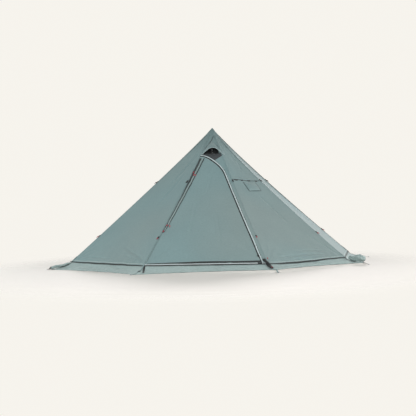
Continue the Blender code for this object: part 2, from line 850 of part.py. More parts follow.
def strut_ends():
    """Top and foot of the strut that props the brim."""
    crown = brim_point(math.pi / 2)
    top = crown - UP * (RIM_RADIUS + 2 * GAP) + Vector((0.0, RIM_RADIUS, 0.0))
    along = middle(0, HOOD_FOOT, 0.0)
    foot = face_point(0, HOOD_FOOT, along, (STRUT_THICKNESS / 2 + GAP) * RADIAL)
    return top, foot


def vent_strut(finish):
    """Strut that holds the hood open, hung under the brim and pressed to the panel below."""
    top, foot = strut_ends()
    run = (foot - top).normalized()
    right = Vector((1.0, 0.0, 0.0))
    out = run.cross(right)
    length = (foot - top).length
    bar = block((top + foot) / 2, right, run, out, STRUT_WIDTH, length, STRUT_THICKNESS)
    place("vent_strut", bar, finish, origin=top)


# Stove jack


def jack_corners(inset):
    """Corners of the stove jack's window, drawn in by an inset: low left, then round."""
    face = 1
    low, high = JACK_TOP - JACK_FALL + inset, JACK_TOP - inset
    return [face_point(face, level, edge(face, level, 0.0) + shift)
            for level, edge, shift in ((low, jack_left, inset), (low, jack_right, -inset),
                                       (high, jack_right, -inset), (high, jack_left, inset))]


def jack_frame():
    """Centre of the stove jack, its rightward, upslope and outward directions and its length."""
    corners = jack_corners(0.0)
    centre = sum(corners, GROUND_CENTRE.copy()) / len(corners)
    right = (corners[1] - corners[0]).normalized()
    upslope = corners[3] - corners[0]
    upslope = (upslope - right * upslope.dot(right)).normalized()
    return centre, right, upslope, right.cross(upslope), (corners[3] - corners[0]).dot(upslope)


def stove_patch(finish):
    """Heat-proof patch that fills the window, with the pipe's hole in it."""
    centre, right, upslope, out, length = jack_frame()
    corners = jack_corners(PATCH_CLEARANCE)
    rim = []
    for corner, following in zip(corners, corners[1:] + corners[:1]):
        rim += [corner.lerp(following, step / PATCH_BENDS) for step in range(PATCH_BENDS)]
    hole = []
    for number in range(len(rim)):
        turn = 2 * math.pi * number / len(rim) - FIRST_CORNER_TURN
        hole.append(centre + (right * math.cos(turn) + upslope * math.sin(turn)) * PIPE_RADIUS)
    depth = outward(FACE_ANGLE) * CLOTH_IN / 2
    mesh = band(rim, hole, depth)
    bmesh.ops.translate(mesh, verts=mesh.verts, vec=depth)
    place("stove_jack_patch", mesh, finish)


def flap_point(down, across, lift):
    """Point of the cover flap: down from its top edge and across from its left one."""
    face = 1
    level = lerp(JACK_TOP + FLAP_TOP_MARGIN, JACK_TOP - JACK_FALL - FLAP_MARGIN, down)
    left = middle(face, level, 0.0) - JACK_LEFT - FLAP_MARGIN
    along = left + (JACK_WIDTH + 2 * FLAP_MARGIN) * across
    puff = FLAP_PUFF * math.sqrt(max(math.sin(math.pi * down) * math.sin(math.pi * across), 0.0))
    return face_point(face, level, along, (GAP + puff) * RADIAL + lift)


def stove_flap(finish):
    """Cover flap that hangs over the stove jack from its top edge and puffs out over the hole."""
    shares = [cell / FLAP_CELLS for cell in range(FLAP_CELLS + 1)]
    outer = [[flap_point(down, across, -CLOTH_IN) for across in shares] for down in shares]
    inner = [[flap_point(down, across, 0.0) for across in shares] for down in shares]
    top = flap_point(0.0, 1 / 2, 0.0)
    place("stove_jack_flap", shell(outer, inner), finish, origin=top, smooth=True)


# Snow skirt


def skirt_point(face, column_share, run_share, drop_share, depth):
    """Point of the skirt below a face's hem. Folds die out at the corners and at the hem."""
    corner = abs(2 * column_share - 1) ** 2
    reach = lerp(SKIRT_FACE_REACH, SKIRT_CORNER_REACH, corner)
    fade = math.sqrt(math.sin(math.pi * column_share)) if 0.0 < column_share < 1.0 else 0.0
    wave = math.sin(2 * math.pi * SKIRT_FOLDS * column_share + face)
    lift_share = lerp(EDGE_LIFT_SHARES[face], EDGE_LIFT_SHARES[(face + 1) % SIDES], column_share)
    out = reach * run_share - SKIRT_TUCK * (1 - run_share)
    out += SKIRT_FOLD_DEPTH * wave * fade * run_share
    floor = SKIRT_CLOTH + (HEM_HEIGHT * lift_share + SKIRT_FOLD_LIFT * fade * (1 + wave) / 2) * run_share
    level = lerp(HEM_HEIGHT - GAP - CLOTH, floor, drop_share)
    if run_share == 1.0:
        level = floor
    width = chord(face, HEM_HEIGHT, out)
    along = lerp(CUT_RIM, width - CUT_RIM, column_share)
    point = face_point(face, HEM_HEIGHT, along, out)
    return Vector((point.x, point.y, level - depth))


def skirt(face, finish):
    """Snow skirt of one face: it drops from the hem and spreads on the ground."""
    outer = []
    inner = []
    for run_share, drop_share in zip(SKIRT_RUN_SHARES, SKIRT_DROP_SHARES):
        shares = [column / SKIRT_COLUMNS for column in range(SKIRT_COLUMNS + 1)]
        outer.append([skirt_point(face, share, run_share, drop_share, 0.0) for share in shares])
        inner.append([skirt_point(face, share, run_share, drop_share, SKIRT_CLOTH) for share in shares])
    place("skirt_" + FACES[face], shell(outer, inner), finish, smooth=True)


# Corner anchors


def anchor_line(ridge):
    """Underside of the corner strap, from the ridge over the skirt to the ring."""
    azimuth = ridge_azimuth(ridge)
    hem = ridge_radius(ridge, HEM_HEIGHT)
    rest = WEBBING + GAP
    line = []
    high = SILL_TOP - GAP if ridge == 0 else STRAP_TOP
    for height in (high, (high + HEM_HEIGHT) / 2):
        line.append((ridge_radius(ridge, height) + SEAM_OUT + GAP * RADIAL, height))
    line.append((hem + SEAM_OUT + rest, HEM_HEIGHT + STRAP_STEP))
    for run_share, drop_share in list(zip(SKIRT_RUN_SHARES, SKIRT_DROP_SHARES))[1:]:
        point = skirt_point(ridge % SIDES, 0.0, run_share, drop_share, 0.0)
        reach = math.hypot(point.x, point.y)
        line.append((reach, point.z + STRAP_STEP))
    line.append((hem + ANCHOR_REACH - RING_WIRE - WEBBING, bar_height() - WEBBING / 2))
    return [outward(azimuth) * reach + UP * height for reach, height in line]


def bar_height():
    """Height of the ring's bar: the webbing round it clears the ground."""
    return RING_WIRE + 2 * GAP + WEBBING + GAP


def bar_centre(ridge):
    """Middle of the ring's straight bar, in the strap's end loop."""
    reach = ridge_radius(ridge, HEM_HEIGHT) + ANCHOR_REACH
    return outward(ridge_azimuth(ridge)) * reach + UP * bar_height()


def corner_strap(ridge, finish):
    """Webbing from the hem's corner to the ring's loop, with the ladder-lock buckle on it."""
    azimuth = ridge_azimuth(ridge)
    out, right = outward(azimuth), sideways(azimuth)
    under = anchor_line(ridge)
    half = right * WEBBING_WIDTH / 2
    outer = []
    inner = []
    for number, point in enumerate(under):
        before = under[max(number - 1, 0)]
        after = under[min(number + 1, len(under) - 1)]
        along = (after - before).normalized()
        normal = along.cross(right)
        if normal.z < 0.0:
            normal = -normal
        top = point + normal * WEBBING
        outer.append([top - half, top + half])
        inner.append([point - half, point + half])
    strap = place("corner_strap_" + RIDGES[ridge], shell(outer, inner), finish)
    centre = bar_centre(ridge)
    hole = RING_WIRE + 2 * GAP
    outlines = []
    for radius in (hole + WEBBING, hole):
        outlines.append([centre + out * radius * math.cos(2 * math.pi * bend / RING_BENDS)
                         + UP * radius * math.sin(2 * math.pi * bend / RING_BENDS)
                         for bend in range(RING_BENDS)])
    loop = band(outlines[0], outlines[1], half)
    fuse(strap, place(f"guide_loop_{ridge}", loop, finish), solver="MANIFOLD")
    start, end = under[3], under[4]
    run = (end - start).normalized()
    normal = run.cross(right)
    if normal.z < 0.0:
        normal = -normal
    middle_point = start.lerp(end, LADDER_RUN_SHARE) + normal * LADDER_HEIGHT / 2
    side = LADDER_LENGTH / 2
    wide = LADDER_WIDTH / 2
    rim = [middle_point + run * side * x + right * wide * y
           for x, y in ((-1, -1), (1, -1), (1, 1), (-1, 1))]
    window = [middle_point + run * (side - LADDER_BAR) * x + right * (wide - LADDER_BAR) * y
              for x, y in ((-1, -1), (1, -1), (1, 1), (-1, 1))]
    frame = band(rim, window, normal * LADDER_HEIGHT / 2)
    fuse(strap, place(f"guide_ladder_{ridge}", frame, finish), solver="MANIFOLD")


def ring_tilt():
    """How far the ring leans down from its bar to lie on the ground."""
    return math.asin((bar_height() - RING_WIRE) / RING_DEPTH)


def peg_ring(ridge, finish):
    """D-shaped ring for a peg: a straight bar in the strap's loop and a bow that rests on the ground."""
    azimuth = ridge_azimuth(ridge)
    right = sideways(azimuth)
    tilt = ring_tilt()
    run = outward(azimuth) * math.cos(tilt) - UP * math.sin(tilt)
    normal = right.cross(run)
    centre = bar_centre(ridge)
    middle_line = [centre - right * RING_BAR / 2, centre + right * RING_BAR / 2]
    for bend in range(1, RING_BENDS):
        turn = math.pi * bend / RING_BENDS
        middle_line.append(centre + right * RING_BAR / 2 * math.cos(turn)
                           + run * RING_DEPTH * math.sin(turn))
    mesh = bmesh.new()
    rings = []
    inside = centre + run * RING_DEPTH / 4
    for number, point in enumerate(middle_line):
        before = middle_line[number - 1]
        after = middle_line[(number + 1) % len(middle_line)]
        first = (point - before).normalized()
        second = (after - point).normalized()
        along = (first + second).normalized()
        sharp = 1 / max(along.dot(second), 1 / 2)
        away = normal.cross(along)
        if away.dot(point - inside) < 0.0:
            away = -away
        rings.append([mesh.verts.new(point + away * RING_WIRE * sharp * math.cos(2 * math.pi * side / 6)
                                     + normal * RING_WIRE * math.sin(2 * math.pi * side / 6))
                      for side in range(6)])
    for ring, after in zip(rings, rings[1:] + rings[:1]):
        for side in range(6):
            beside = (side + 1) % 6
            mesh.faces.new([ring[side], ring[beside], after[beside], after[side]])
    place("peg_ring_" + RIDGES[ridge], mesh, finish, origin=centre, smooth=True)


# Centre pole


def pole_foot(finish):
    """Rubber foot with a socket for the lowest section."""
    socket = POLE_RADIUS + GAP
    profile = [(0.0, 0.0), (FOOT_RADIUS - CHAMFER, 0.0), (FOOT_RADIUS, CHAMFER),
               (FOOT_RADIUS - CHAMFER, FOOT_HEIGHT), (socket, FOOT_HEIGHT),
               (socket, FOOT_FLOOR), (0.0, FOOT_FLOOR)]
    place("pole_foot", turned(profile, closed=False), finish, smooth=True)


def pole_bounds():
    """Lowest and highest level of the aluminium sections, and the length of each."""
    low = FOOT_FLOOR + GAP
    high = PEAK_HEIGHT - CUP_ROOF_DROP - GAP - TIP_HEIGHT
    return low, high, (high - low) / POLE_SECTIONS


def pole_section(number, finish):
    """Drawn tube. All but the top one end in a necked plug for the section above."""
    low, high, length = pole_bounds()
    start = low + length * number
    end = start + length - GAP
    bore = POLE_RADIUS - POLE_WALL
    profile = [(POLE_RADIUS, start), (POLE_RADIUS, end)]
    if number < POLE_SECTIONS - 1:
        plug = bore - GAP
        neck = plug - POLE_WALL
        profile += [(plug, end), (plug, end + PLUG_LENGTH), (neck, end + PLUG_LENGTH),
                    (neck, end - CHAMFER), (bore, end - 2 * CHAMFER)]
    else:
        profile += [(bore, end)]
    profile += [(bore, start)]
    place(f"pole_section_{number + 1}", turned(profile, closed=True), finish, smooth=True)


def pole_tip(finish):
    """Rounded plastic tip, plugged into the top section."""
    low, high, length = pole_bounds()
    plug = POLE_RADIUS - POLE_WALL - GAP
    profile = [(0.0, high - TIP_PLUG), (plug, high - TIP_PLUG), (plug, high),
               (POLE_RADIUS, high), (POLE_RADIUS, high + TIP_HEIGHT / 2)]
    bends = 4
    for bend in range(1, bends + 1):
        turn = math.pi / 2 * bend / bends
        radius = lerp(TIP_TOP_RADIUS, POLE_RADIUS, math.cos(turn))
        profile.append((radius, high + TIP_HEIGHT * (1 + math.sin(turn)) / 2))
    profile.append((0.0, high + TIP_HEIGHT))
    place("pole_tip", turned(profile, closed=False), finish, smooth=True)


def canopy(finish):
    """All eight gores, their seams and the peak."""
    vent_panel(0, finish["canopy"])
    jack_panel(1, finish["canopy"])
    for face in range(2, SIDES):
        plain_panel(face, finish["canopy"])
    for ridge in range(SIDES):
        ridge_seam(ridge, finish["seam"])
    peak_cap(finish["seam"])
    pole_cup(finish["plastic"])


def door(finish):
    """The door leaf, its frame, zip and tie-backs."""
    door_leaf(finish["canopy"])
    door_frame(finish["canopy"])
    sill_strap(finish["light_webbing"])
    zip_slider(finish["plastic"])
    zip_pull(finish["plastic"])
    for number, height in enumerate(TOGGLE_HEIGHTS):
        toggle(number, height, finish["toggle"])


def vent(finish):
    """The net, the hood and its strut."""
    net_panel(finish["net"])
    vent_hood(finish["canopy"])
    vent_strut(finish["plastic"])


def stove_jack(finish):
    """The heat-proof patch and its cover flap."""
    stove_patch(finish["patch"])
    stove_flap(finish["canopy"])


def base(finish):
    """Skirt, corner straps and peg rings."""
    for face in range(SIDES):
        skirt(face, finish["skirt"])
    for ridge in range(SIDES):
        corner_strap(ridge, finish["webbing"])
        peg_ring(ridge, finish["steel"])


def pole(finish):
    """Foot, sections and tip."""
    pole_foot(finish["rubber"])
    for number in range(POLE_SECTIONS):
        pole_section(number, finish["aluminium"])
    pole_tip(finish["plastic"])


def main():
    clear_scene()
    finish = finishes()
    canopy(finish)
    door(finish)
    vent(finish)
    stove_jack(finish)
    base(finish)
    pole(finish)


main()
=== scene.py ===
"""Eight-sided pyramid tent with its door zipped shut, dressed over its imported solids."""

import enum
import logging
import math
from collections.abc import Callable, Iterable, Sequence
from dataclasses import dataclass, field

import bmesh
import bpy
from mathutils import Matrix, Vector, noise

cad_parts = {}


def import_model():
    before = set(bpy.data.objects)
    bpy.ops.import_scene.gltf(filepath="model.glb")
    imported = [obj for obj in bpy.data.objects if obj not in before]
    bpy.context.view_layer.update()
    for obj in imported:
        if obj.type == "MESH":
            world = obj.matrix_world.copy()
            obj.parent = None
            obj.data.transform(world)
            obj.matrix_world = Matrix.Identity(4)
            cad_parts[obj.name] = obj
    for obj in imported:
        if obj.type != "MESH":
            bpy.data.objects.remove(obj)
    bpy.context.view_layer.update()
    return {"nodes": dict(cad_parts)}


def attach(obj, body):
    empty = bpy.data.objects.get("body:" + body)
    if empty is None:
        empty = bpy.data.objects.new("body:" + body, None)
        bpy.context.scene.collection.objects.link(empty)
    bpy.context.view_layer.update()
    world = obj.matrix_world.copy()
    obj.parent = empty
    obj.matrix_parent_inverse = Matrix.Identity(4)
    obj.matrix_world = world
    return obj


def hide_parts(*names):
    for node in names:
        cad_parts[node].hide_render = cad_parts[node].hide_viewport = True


LOG = logging.getLogger("tent")
UP = Vector((0.0, 0.0, 1.0))
Colour = tuple[float, float, float]
Row = list[Vector]
Edge = Callable[[float], float]
LEVEL_SLACK = 1e-6


class Coords(enum.Enum):
    """What a pattern is laid out on."""

    CLOTH = "the piece's own UV map, in metres"
    SOLID = "the object's coordinates, in metres"


class Pattern(enum.Enum):
    """How the threads of a cloth or strap run."""

    PLAIN = "warp and weft"
    RIBBED = "ribs across"


class Side(enum.Enum):
    """A side of the zip."""

    LEAF = "door"
    FRAME = "root"


# Finishes


class NodeBench:
    """Adds and joins the shader nodes of one material."""

    def __init__(self, name: str) -> None:
        """Starts a material with an output and a principled shader."""
        self.material = bpy.data.materials.new(name)
        self.material.use_nodes = True
        self.tree = self.material.node_tree
        self.shader = self.tree.nodes["Principled BSDF"]
        self.output = self.tree.nodes["Material Output"]

    def add(self, kind: str, **values: object) -> bpy.types.Node:
        """Adds a node and sets its plain attributes.

        Args:
            kind: Blender's type name of the node.
            values: attributes by name.

        Returns:
            The new node.
        """
        node = self.tree.nodes.new(kind)
        for name, value in values.items():
            setattr(node, name, value)
        return node

    def join(self, out: bpy.types.NodeSocket, into: bpy.types.NodeSocket) -> None:
        """Links an output to an input."""
        self.tree.links.new(out, into)

    def place(self, coords: Coords) -> bpy.types.NodeSocket:
        """Returns the socket with the pattern's coordinates."""
        source = self.add("ShaderNodeTexCoord")
        return source.outputs["UV" if coords is Coords.CLOTH else "Object"]

    def blotches(self, where: bpy.types.NodeSocket, scale: float, detail: float) -> bpy.types.NodeSocket:
        """Returns a soft noise of the given scale.

        Args:
            where: coordinates to read.
            scale: blotches per metre.
            detail: octaves of finer detail.
        """
        cloud = self.add("ShaderNodeTexNoise")
        cloud.inputs["Scale"].default_value = scale
        cloud.inputs["Detail"].default_value = detail
        self.join(where, cloud.inputs["Vector"])
        return cloud.outputs["Fac"]

    def ramp(self, value: bpy.types.NodeSocket, low: Colour, high: Colour,
             start: float = 0.3, end: float = 0.7) -> bpy.types.NodeSocket:
        """Returns a colour between two, by a value.

        Args:
            value: what chooses the colour.
            low: colour up to start.
            high: colour from end on.
            start: value of the low colour.
            end: value of the high colour.
        """
        node = self.add("ShaderNodeValToRGB")
        node.color_ramp.elements[0].position = start
        node.color_ramp.elements[0].color = (*low, 1.0)
        node.color_ramp.elements[1].position = end
        node.color_ramp.elements[1].color = (*high, 1.0)
        self.join(value, node.inputs["Fac"])
        return node.outputs["Color"]

    def span(self, value: bpy.types.NodeSocket, low: float, high: float) -> bpy.types.NodeSocket:
        """Returns a value of 0 to 1 spread from low to high."""
        node = self.add("ShaderNodeMapRange")
        node.inputs["To Min"].default_value = low
        node.inputs["To Max"].default_value = high
        self.join(value, node.inputs["Value"])
        return node.outputs["Result"]

    def threads(self, where: bpy.types.NodeSocket, pitch: float, direction: str) -> bpy.types.NodeSocket:
        """Returns parallel threads a pitch apart.

        Args:
            where: coordinates to read.
            pitch: metres from one thread to the next.
            direction: axis that the threads are counted along, X or Y.
        """
        wave = self.add("ShaderNodeTexWave", bands_direction=direction)
        wave.inputs["Scale"].default_value = math.tau / (20.0 * pitch)
        wave.inputs["Distortion"].default_value = 0.6
        wave.inputs["Detail"].default_value = 1.0
        self.join(where, wave.inputs["Vector"])
        return wave.outputs["Fac"]

    def blend(self, first: bpy.types.NodeSocket, second: bpy.types.NodeSocket,
              operation: str) -> bpy.types.NodeSocket:
        """Returns two values put together by a math operation."""
        node = self.add("ShaderNodeMath", operation=operation)
        self.join(first, node.inputs[0])
        self.join(second, node.inputs[1])
        return node.outputs[0]

    def tinted(self, colour: bpy.types.NodeSocket, tint: bpy.types.NodeSocket) -> bpy.types.NodeSocket:
        """Returns a colour multiplied by another."""
        node = self.add("ShaderNodeMix", data_type="RGBA", blend_type="MULTIPLY")
        node.inputs["Factor"].default_value = 1.0
        self.join(colour, node.inputs[6])
        self.join(tint, node.inputs[7])
        return node.outputs[2]

    def bump(self, height: bpy.types.NodeSocket, strength: float, depth: float,
             under: bpy.types.NodeSocket | None = None) -> bpy.types.NodeSocket:
        """Returns normals raised by a height.

        Args:
            height: value from 0 to 1.
            strength: how much of the bump shows.
            depth: metres from 0 to 1.
            under: normals below these, if any.
        """
        node = self.add("ShaderNodeBump")
        node.inputs["Strength"].default_value = strength
        node.inputs["Distance"].default_value = depth
        self.join(height, node.inputs["Height"])
        if under is not None:
            self.join(under, node.inputs["Normal"])
        return node.outputs["Normal"]

    def finish(self, normal: bpy.types.NodeSocket) -> bpy.types.Material:
        """Puts the normals on the shader and returns the material."""
        self.join(normal, self.shader.inputs["Normal"])
        return self.material


@dataclass(frozen=True)
class ClothFinish:
    """Woven cloth: colour drifts over it at random, threads show close to, and it can carry a painted shade
    that darkens it towards the peak.
    """

    name: str
    colour: Colour
    shade: Colour
    pitch: float = 0.0006
    pattern: Pattern = Pattern.PLAIN
    coords: Coords = Coords.CLOTH
    roughness: tuple[float, float] = (0.52, 0.66)
    sheen: float = 0.12
    specular: float = 0.35
    crumple: float = 0.0014
    drift: tuple[Colour, Colour] | None = None
    # Painted shade: lowest level, top level and least brightness of a darkening towards the peak.
    painted_peak_shade: tuple[float, float, float] | None = None

    def build(self) -> bpy.types.Material:
        """Returns the material."""
        bench = NodeBench(self.name)
        where = bench.place(self.coords)
        broad = bench.blotches(where, 2.2, 5.0)
        fine = bench.blotches(where, 38.0, 3.0)
        mixed = bench.blend(broad, fine, "ADD")
        half = bench.span(mixed, 0.0, 0.5)
        half.node.inputs["From Max"].default_value = 1.0
        half.node.clamp = False
        colour = bench.ramp(half, self.shade, self.colour, 0.36, 0.64)
        if self.drift is not None:
            patches = bench.blotches(bench.place(Coords.SOLID), 0.62, 1.0)
            colour = bench.tinted(colour, bench.ramp(patches, *self.drift, 0.36, 0.62))
        if self.painted_peak_shade is not None:
            colour = bench.tinted(colour, self.shadowed(bench))
        bench.join(colour, bench.shader.inputs["Base Color"])
        bench.join(bench.span(broad, *self.roughness), bench.shader.inputs["Roughness"])
        bench.shader.inputs["Sheen Weight"].default_value = self.sheen
        bench.shader.inputs["Sheen Roughness"].default_value = 0.45
        bench.shader.inputs["Specular IOR Level"].default_value = self.specular
        weft = bench.threads(where, self.pitch, "Y")
        if self.pattern is Pattern.PLAIN:
            weft = bench.blend(bench.threads(where, self.pitch, "X"), weft, "MAXIMUM")
        creases = bench.bump(bench.blotches(where, 14.0, 4.0), 0.5, self.crumple)
        return bench.finish(bench.bump(weft, 0.35, self.pitch * 0.3, creases))

    def shadowed(self, bench: NodeBench) -> bpy.types.NodeSocket:
        """Returns the grey of the painted shade that darkens the cloth more with height, towards the peak."""
        low, high, least = self.painted_peak_shade
        parts = bench.add("ShaderNodeSeparateXYZ")
        bench.join(bench.place(Coords.SOLID), parts.inputs["Vector"])
        level = bench.add("ShaderNodeMapRange")
        level.inputs["From Min"].default_value = low
        level.inputs["From Max"].default_value = high
        bench.join(parts.outputs["Z"], level.inputs["Value"])
        return bench.ramp(level.outputs["Result"], (1.0, 1.0, 1.0), (least, least * 1.02, least * 1.02), 0.0,
                          1.0)


@dataclass(frozen=True)
class MetalFinish:
    """Drawn or bent metal with fine marks along it."""

    name: str
    colour: Colour
    roughness: tuple[float, float] = (0.24, 0.42)

    def build(self) -> bpy.types.Material:
        """Returns the material."""
        bench = NodeBench(self.name)
        where = bench.place(Coords.SOLID)
        stretch = bench.add("ShaderNodeMapping")
        stretch.inputs["Scale"].default_value = (1.0, 1.0, 0.05)
        bench.join(where, stretch.inputs["Vector"])
        marks = bench.blotches(stretch.outputs["Vector"], 900.0, 3.0)
        bench.join(bench.span(marks, *self.roughness), bench.shader.inputs["Roughness"])
        worn = tuple(channel * 0.82 for channel in self.colour)
        bench.join(bench.ramp(bench.blotches(where, 30.0, 4.0), worn, self.colour),
                   bench.shader.inputs["Base Color"])
        bench.shader.inputs["Metallic"].default_value = 1.0
        return bench.finish(bench.bump(marks, 0.2, 0.00005))


@dataclass(frozen=True)
class MouldedFinish:
    """Moulded plastic or rubber: a fine grain, with rubbed lighter spots."""

    name: str
    colour: Colour
    grain: float = 1400.0
    roughness: tuple[float, float] = (0.48, 0.66)
    specular: float = 0.4

    def build(self) -> bpy.types.Material:
        """Returns the material."""
        bench = NodeBench(self.name)
        where = bench.place(Coords.SOLID)
        rubbed = tuple(min(channel * 1.5 + 0.01, 1.0) for channel in self.colour)
        bench.join(bench.ramp(bench.blotches(where, 120.0, 4.0), self.colour, rubbed, 0.45, 0.8),
                   bench.shader.inputs["Base Color"])
        bench.join(bench.span(bench.blotches(where, 60.0, 3.0), *self.roughness),
                   bench.shader.inputs["Roughness"])
        bench.shader.inputs["Specular IOR Level"].default_value = self.specular
        return bench.finish(bench.bump(bench.blotches(where, self.grain, 2.0), 0.4, 0.0001))


@dataclass
class Wardrobe:
    """Every finish of the tent, built once."""

    made: dict[str, bpy.types.Material] = field(default_factory=dict)

    def fill(self) -> None:
        """Builds all the finishes."""
        cloth = (
            # The canopy cloth and its seam tape carry a painted shade, darker towards the peak.
            ClothFinish("canopy_cloth", (0.216, 0.287, 0.289), (0.191, 0.258, 0.262),
                        drift=((0.90, 1.00, 1.00), (1.0, 0.985, 0.955)), painted_peak_shade=(1.62, 1.97, 0.66)),
            ClothFinish("skirt_cloth", (0.345, 0.430, 0.415), (0.285, 0.362, 0.350), crumple=0.003),
            ClothFinish("seam_tape", (0.207, 0.276, 0.279), (0.183, 0.248, 0.252), pitch=0.0008,
                        drift=((0.90, 1.00, 1.00), (1.0, 0.985, 0.955)), painted_peak_shade=(1.62, 1.97, 0.66)),
            ClothFinish("black_webbing", (0.016, 0.018, 0.019), (0.008, 0.009, 0.010), pitch=0.0016,
                        pattern=Pattern.RIBBED, roughness=(0.6, 0.8), crumple=0.0004),
            ClothFinish("light_webbing", (0.62, 0.68, 0.68), (0.50, 0.56, 0.56), pitch=0.0012,
                        pattern=Pattern.RIBBED, roughness=(0.5, 0.7), crumple=0.0004),
            # Near-black tape for the zip's tapes and the flap's binding, also used for pieces painted as
            # shade inside the hood, in the keeper's rolls, under the leaf and along the hems.
            ClothFinish("zip_tape", (0.020, 0.024, 0.024), (0.012, 0.014, 0.014), pitch=0.0010,
                        pattern=Pattern.RIBBED, roughness=(0.6, 0.8), crumple=0.0003),
            # Painted highlight: a lighter copy of the canopy cloth for the lit tops of raised folds.
            ClothFinish("canopy_light", (0.245, 0.315, 0.305), (0.205, 0.272, 0.264), pitch=0.0008),
            ClothFinish("storm_cloth", (0.540, 0.620, 0.620), (0.400, 0.470, 0.470), pitch=0.0010,
                        pattern=Pattern.RIBBED, roughness=(0.5, 0.7), crumple=0.0005),
            # Painted shadow: near-black lines laid beside seams, folds and rolls where shade falls.
            ClothFinish("dark_edge", (0.042, 0.055, 0.056), (0.026, 0.034, 0.036), pitch=0.0010,
                        pattern=Pattern.RIBBED, roughness=(0.6, 0.8), crumple=0.0004),
            # Painted shade: the near-black sheet under the vent.
            ClothFinish("apron_cloth", (0.052, 0.058, 0.062), (0.020, 0.023, 0.026), coords=Coords.SOLID,
                        roughness=(0.6, 0.8), crumple=0.0005),
            ClothFinish("vent_net", (0.030, 0.033, 0.034), (0.016, 0.018, 0.019), coords=Coords.SOLID,
                        roughness=(0.7, 0.9), sheen=0.0),
            ClothFinish("heat_patch", (0.075, 0.078, 0.075), (0.050, 0.052, 0.050), pitch=0.0014,
                        roughness=(0.55, 0.75), crumple=0.0008),
            ClothFinish("thread", (0.150, 0.202, 0.197), (0.125, 0.170, 0.166), coords=Coords.SOLID,
                        pitch=0.0004, crumple=0.0002),
            ClothFinish("cord", (0.028, 0.030, 0.031), (0.014, 0.015, 0.016), coords=Coords.SOLID,
                        pitch=0.0012, crumple=0.0003),
            ClothFinish("red_cord", (0.420, 0.060, 0.080), (0.280, 0.040, 0.055), coords=Coords.SOLID,
                        pitch=0.0012, crumple=0.0003),
        )
        hard = (
            MetalFinish("steel", (0.58, 0.59, 0.61)),
            MetalFinish("aluminium", (0.66, 0.67, 0.69), (0.28, 0.46)),
            MouldedFinish("black_plastic", (0.016, 0.017, 0.018), specular=0.25),
            MouldedFinish("red_toggle", (0.520, 0.035, 0.050)),
            MouldedFinish("rubber", (0.026, 0.026, 0.027), 700.0, (0.7, 0.9)),
        )
        for finish in (*cloth, *hard):
            self.made[finish.name] = finish.build()

    def __getitem__(self, name: str) -> bpy.types.Material:
        """Returns a finish by its name."""
        return self.made[name]


# The tent's form


@dataclass(frozen=True)
class TentForm:
    """The canopy's surface: eight hollow ridge lines with straight level lines between them."""

    hem_radius: float = 2.15
    hem_height: float = 0.10
    peak_height: float = 1.986
    sides: int = 8
    reach: tuple[float, ...] = (1.0, 1.0, 0.945, 1.0, 1.0, 1.0, 1.0, 1.0)
    hollow: tuple[float, ...] = (1.10, 1.07, 1.13, 1.08, 1.07, 1.07, 1.07, 1.045)
    edge_lift: tuple[float, ...] = (0.0, 0.42, 0.30, 0.10, 0.0, 0.0, 0.0, 0.0)
    ridges: tuple[str, ...] = ("front_left", "front_right", "right_front", "right_rear",
                               "rear_right", "rear_left", "left_rear", "left_front")
    faces: tuple[str, ...] = ("front", "front_right", "right", "rear_right",
                              "rear", "rear_left", "left", "front_left")

    @property
    def rise(self) -> float:
        """Height from the hem to the peak."""
        return self.peak_height - self.hem_height

    @property
    def radial(self) -> float:
        """Level distance outward that gives one metre square to a face."""
        apothem = self.hem_radius * math.cos(math.pi / self.sides)
        return math.hypot(self.rise, apothem) / (self.rise * math.cos(math.pi / self.sides))

    def azimuth(self, ridge: int) -> float:
        """Returns a ridge's angle from the door's side."""
        return (ridge - 0.5) * math.tau / self.sides

    def outward(self, azimuth: float) -> Vector:
        """Returns the level direction away from the pole."""
        return Vector((math.sin(azimuth), -math.cos(azimuth), 0.0))

    def across(self, azimuth: float) -> Vector:
        """Returns the level direction to the right, seen from outside."""
        return Vector((math.cos(azimuth), math.sin(azimuth), 0.0))

    def radius(self, ridge: int, height: float) -> float:
        """Returns how far a ridge is from the pole at a height."""
        ridge %= self.sides
        fall = max(self.peak_height - height, 0.0) / self.rise
        return self.hem_radius * self.reach[ridge] * fall ** self.hollow[ridge]

    def ridge_point(self, ridge: int, height: float, proud: float = 0.0) -> Vector:
        """Returns a point on a ridge.

        Args:
            ridge: number of the ridge.
            height: height over the ground.
            proud: distance square to the cloth.
        """
        reach = self.radius(ridge, height) + proud * self.radial
        return self.outward(self.azimuth(ridge)) * reach + UP * height

    def width(self, face: int, height: float) -> float:
        """Returns the level width of a face."""
        return (self.ridge_point(face + 1, height) - self.ridge_point(face, height)).length

    def point(self, face: int, height: float, along: float, proud: float = 0.0) -> Vector:
        """Returns a point on a face.

        Args:
            face: number of the face.
            height: height over the ground.
            along: level distance from the left ridge.
            proud: distance square to the cloth.
        """
        left = self.ridge_point(face, height, proud)
        right = self.ridge_point(face + 1, height, proud)
        return left + (right - left).normalized() * along

    def normal(self, face: int, height: float) -> Vector:
        """Returns the direction square to a face."""
        step = 0.004
        middle = self.width(face, height) * 0.5
        low = self.point(face, height - step, middle)
        high = self.point(face, height + step, middle)
        right = self.ridge_point(face + 1, height) - self.ridge_point(face, height)
        return right.cross(high - low).normalized()

    def ridge_normal(self, ridge: int, height: float) -> Vector:
        """Returns the direction square to a ridge line."""
        step = 0.004
        run = self.ridge_point(ridge, height + step) - self.ridge_point(ridge, height - step)
        return self.across(self.azimuth(ridge)).cross(run).normalized()


